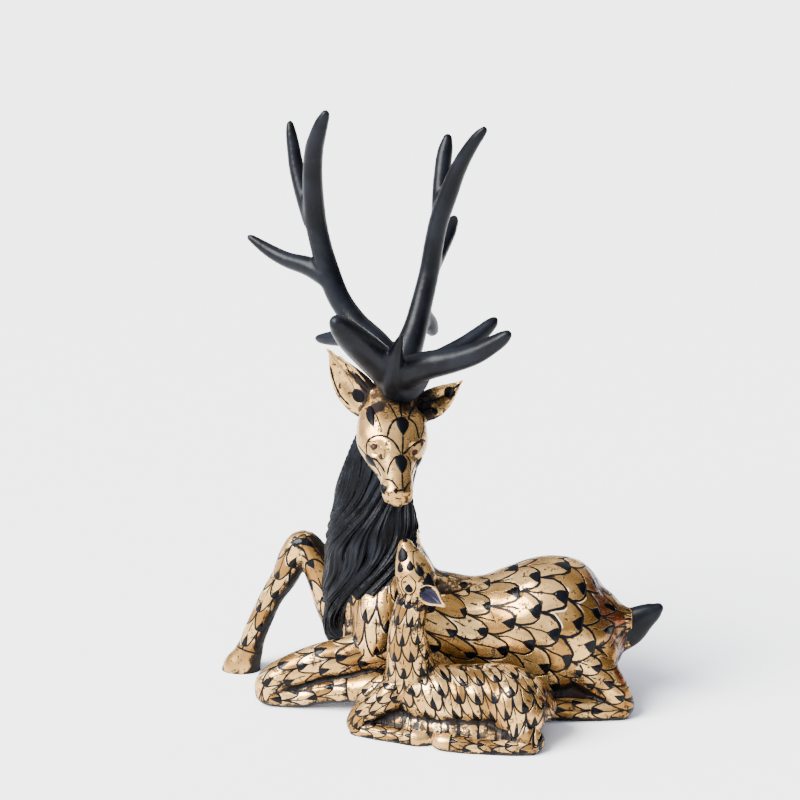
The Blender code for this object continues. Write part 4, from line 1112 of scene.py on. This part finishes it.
antlers = {
    "voxel": 0.0014 / unit,
    "seat": (0.0, -20.0, 217.5), "seatNormal": (0.0, -0.30, 0.95),
    "saddle": ((-13, -17, 237, 8, 8), (-5, -20, 231.5, 10.5, 11.5), (2, -21, 227.5, 12, 13), (9, -19, 230, 11.5, 12),
               (16, -15, 235, 8, 8)),
    "tines": (
        ((-5.8, -10, 237, 10.95), (-15.2, -3, 249.6, 9.65), (-28.4, 4, 260.8, 8.45), (-37, 9, 270.5, 7.85),
         (-43.7, 12, 280.8, 7.85), (-50, 15, 296.5, 7.85), (-54.7, 16, 312.7, 7.45), (-58, 16, 329, 7.45),
         (-59.2, 14, 345.5, 7.25), (-59.3, 11, 362.1, 6.85), (-57.6, 7, 378.7, 6.45), (-54.3, 3, 389.8, 5.65),
         (-51.2, 0, 398.1, 4.65), (-48.6, -2, 403.6, 3.25)),
        ((-61.5, 17, 328.7, 5.45), (-66.8, 23, 343.9, 5.65), (-72.3, 30, 361.7, 5.35), (-75, 34, 376, 4.75),
         (-76.9, 36, 386.5, 3.85), (-77.6, 37, 391.7, 2.85)),
        ((-51.3, 14, 292.6, 7.65), (-63.6, 20, 297.7, 6.85), (-79, 28, 300.3, 5.65), (-90.8, 34, 304.5, 4.95),
         (-100.1, 37, 309.7, 3.85), (-106.6, 39, 313.7, 2.65)),
        ((-3.4, -22, 233.3, 11.45), (-14.8, -40, 251.1, 11.45), (-25.5, -56, 266, 10.05),
         (-32, -66, 276.1, 7.65), (-34.1, -70, 279.6, 5.65)),
        ((-23.1, 2, 257.2, 7.45), (-38.7, 14, 250.6, 6.45), (-52, 22, 247.4, 4.65), (-58, 26, 246.4, 3.25)),
        ((2.2, -10, 237.2, 10.45), (6.9, -2, 250.5, 9.45), (10.4, 4, 261.6, 8.25), (12.8, 8, 271.7, 7.65),
         (15.8, 12, 284.6, 7.25), (18.6, 15, 297.7, 6.95), (21.1, 16, 313.9, 6.75), (24.4, 16, 330.3, 6.65),
         (28.1, 15, 341.3, 6.65), (32.1, 13, 352.4, 6.45), (36.2, 10, 363.5, 5.95), (41.6, 6, 374.8, 5.25),
         (48.3, 2, 386, 4.45), (52.3, 0, 391.2, 3.75), (54.9, -1, 394.3, 2.85)),
        ((25.2, 18, 335.3, 6.05), (25.1, 24, 347.8, 5.85), (25.7, 29, 360.5, 5.75), (26.7, 33, 370.7, 5.65),
         (27.9, 35, 377.8, 5.05), (28.8, 36, 383.7, 3.45)),
        ((20.8, 17, 298.7, 5.05), (26.2, 30, 310.7, 5.05), (30.5, 42, 320.2, 4.85), (32.5, 52, 326.1, 3.35)),
        ((14.7, 10, 267.2, 6.45), (18.0, 18, 260.5, 6.2), (19.8, 24, 254.7, 5.0)),
        ((0.8, -24, 233.9, 11.45), (19.7, -38, 244.6, 9.85), (36.5, -46, 250.3, 8.45), (52.4, -53, 257, 7.45),
         (64.1, -58, 264.4, 6.05), (71.2, -61, 269.8, 4.85), (73.8, -62, 272.1, 3.65)),
        ((29.6, -40, 250, 6.85), (44.3, -35, 257.8, 6.25), (55, -30, 264.9, 5.65), (62, -27, 271, 4.45),
         (63.9, -26, 272.9, 3.45)),
        ((-2.5, -26, 228.5, 8.85), (-2.7, -33, 236.7, 8.45), (-0.3, -41, 248.3, 6.25),
         (2.9, -48, 260.1, 3.85), (5.2, -52, 267, 2.25)),
    ),
}


def seated(work):
    # cut flat where the antlers sit on the crown
    cut = bmesh.ops.bisect_plane(work, geom=[*work.verts, *work.edges, *work.faces], plane_co=antlers["seat"],
                                 plane_no=antlers["seatNormal"], clear_inner=True)
    bmesh.ops.holes_fill(work, edges=[e for e in cut["geom_cut"] if isinstance(e, bmesh.types.BMEdge)], sides=0)


shells = [loft(smoothRun([(*row, row[3]) for row in tine]), (0.3, 1, 0.2)) for tine in antlers["tines"]]
shells.append(loft(smoothRun(antlers["saddle"]), (0, 1, 0)))
rackMesh = fused(meshFrom("antlerShells", shells), antlers["voxel"], 10)
reworked(rackMesh, seated)
setSpots(rackMesh, inMetres(spotsOf(rackMesh)))
rackMesh.shade_smooth()
rackMesh.materials.clear()
rackMesh.materials.append(antlerMaterial())
rack = putInScene("rackOfAntlers", rackMesh)
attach(rack, "root")
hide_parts("antlers")
report(f"antlers {len(rackMesh.polygons)} faces")


studio = {
    "azimuth": 5, "elevation": 15, "target": (0, 0, 211), "distance": 1400, "lens": 2072 / 800 * 36,
    "floor": (0.94, 0.935, 0.915),
    # the air from the dim side to the lit side
    "air": ((0.0, (0.04, 0.035, 0.03)), (0.35, (0.12, 0.11, 0.11)), (0.62, (0.60, 0.62, 0.68)),
            (1.0, (2.3, 2.6, 3.3))),
    "keySun": {"towards": (-0.62, -0.45, 0.64), "strength": 17.0, "width": 0.72, "colour": (1.0, 0.99, 0.975)},
    "backSun": {"towards": (0.35, 0.75, 0.60), "strength": 0.6, "width": 0.9, "colour": (1.0, 0.96, 0.92)},
}


def studioMaterial():
    g = Graph("studioFloor")
    grain = g.noise(30.0, 2.0)
    dimmer = tuple(v * 0.985 for v in studio["floor"])
    return g.paint(g.mix(grain, studio["floor"], dimmer), 0.75 + grain * 0.05)


def softSun(name, towards, strength, width, colour):
    lamp = bpy.data.lights.new(name, "SUN")
    lamp.energy, lamp.angle, lamp.color = strength, width, colour
    made = putInScene(name, lamp)
    made.rotation_mode = "QUATERNION"
    made.rotation_quaternion = Vector(towards).to_track_quat("Z", "Y")


bpy.ops.mesh.primitive_plane_add(size=40, location=(0, 0, 0))
floor = bpy.context.object
floor.name = "studioFloor"
floor.data.materials.append(studioMaterial())

world = bpy.data.worlds.new("studioAir")
bpy.context.scene.world = world
air = Graph(world)
direction = air.add("ShaderNodeTexCoord", {}, out="Generated")
towardsKey = studio["keySun"]["towards"]
litSide = air.add("ShaderNodeVectorMath", {"operation": "DOT_PRODUCT"}, direction, towardsKey, out="Value")
sky = air.add("ShaderNodeValToRGB", {"stops": studio["air"]}, litSide * 0.5 + 0.5)
air.feed(air.nodes["Background"].inputs["Color"], sky)

for name in ("keySun", "backSun"):
    softSun(name, **studio[name])

camera = putInScene("photoCamera", bpy.data.cameras.new("photoCamera"))
camera.data.sensor_width, camera.data.lens = 36, studio["lens"]
camera.data.clip_start, camera.data.clip_end = 0.05, 50
a, e = math.radians(studio["azimuth"]), math.radians(studio["elevation"])
back = Vector((math.sin(a) * math.cos(e), -math.cos(a) * math.cos(e), math.sin(e)))
camera.location = Vector((np.array(studio["target"]) + shift) * unit) + back * studio["distance"] * unit
camera.rotation_mode = "QUATERNION"
camera.rotation_quaternion = (-back).to_track_quat("-Z", "Y")
bpy.context.scene.camera = camera

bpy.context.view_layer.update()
report("sizes written")
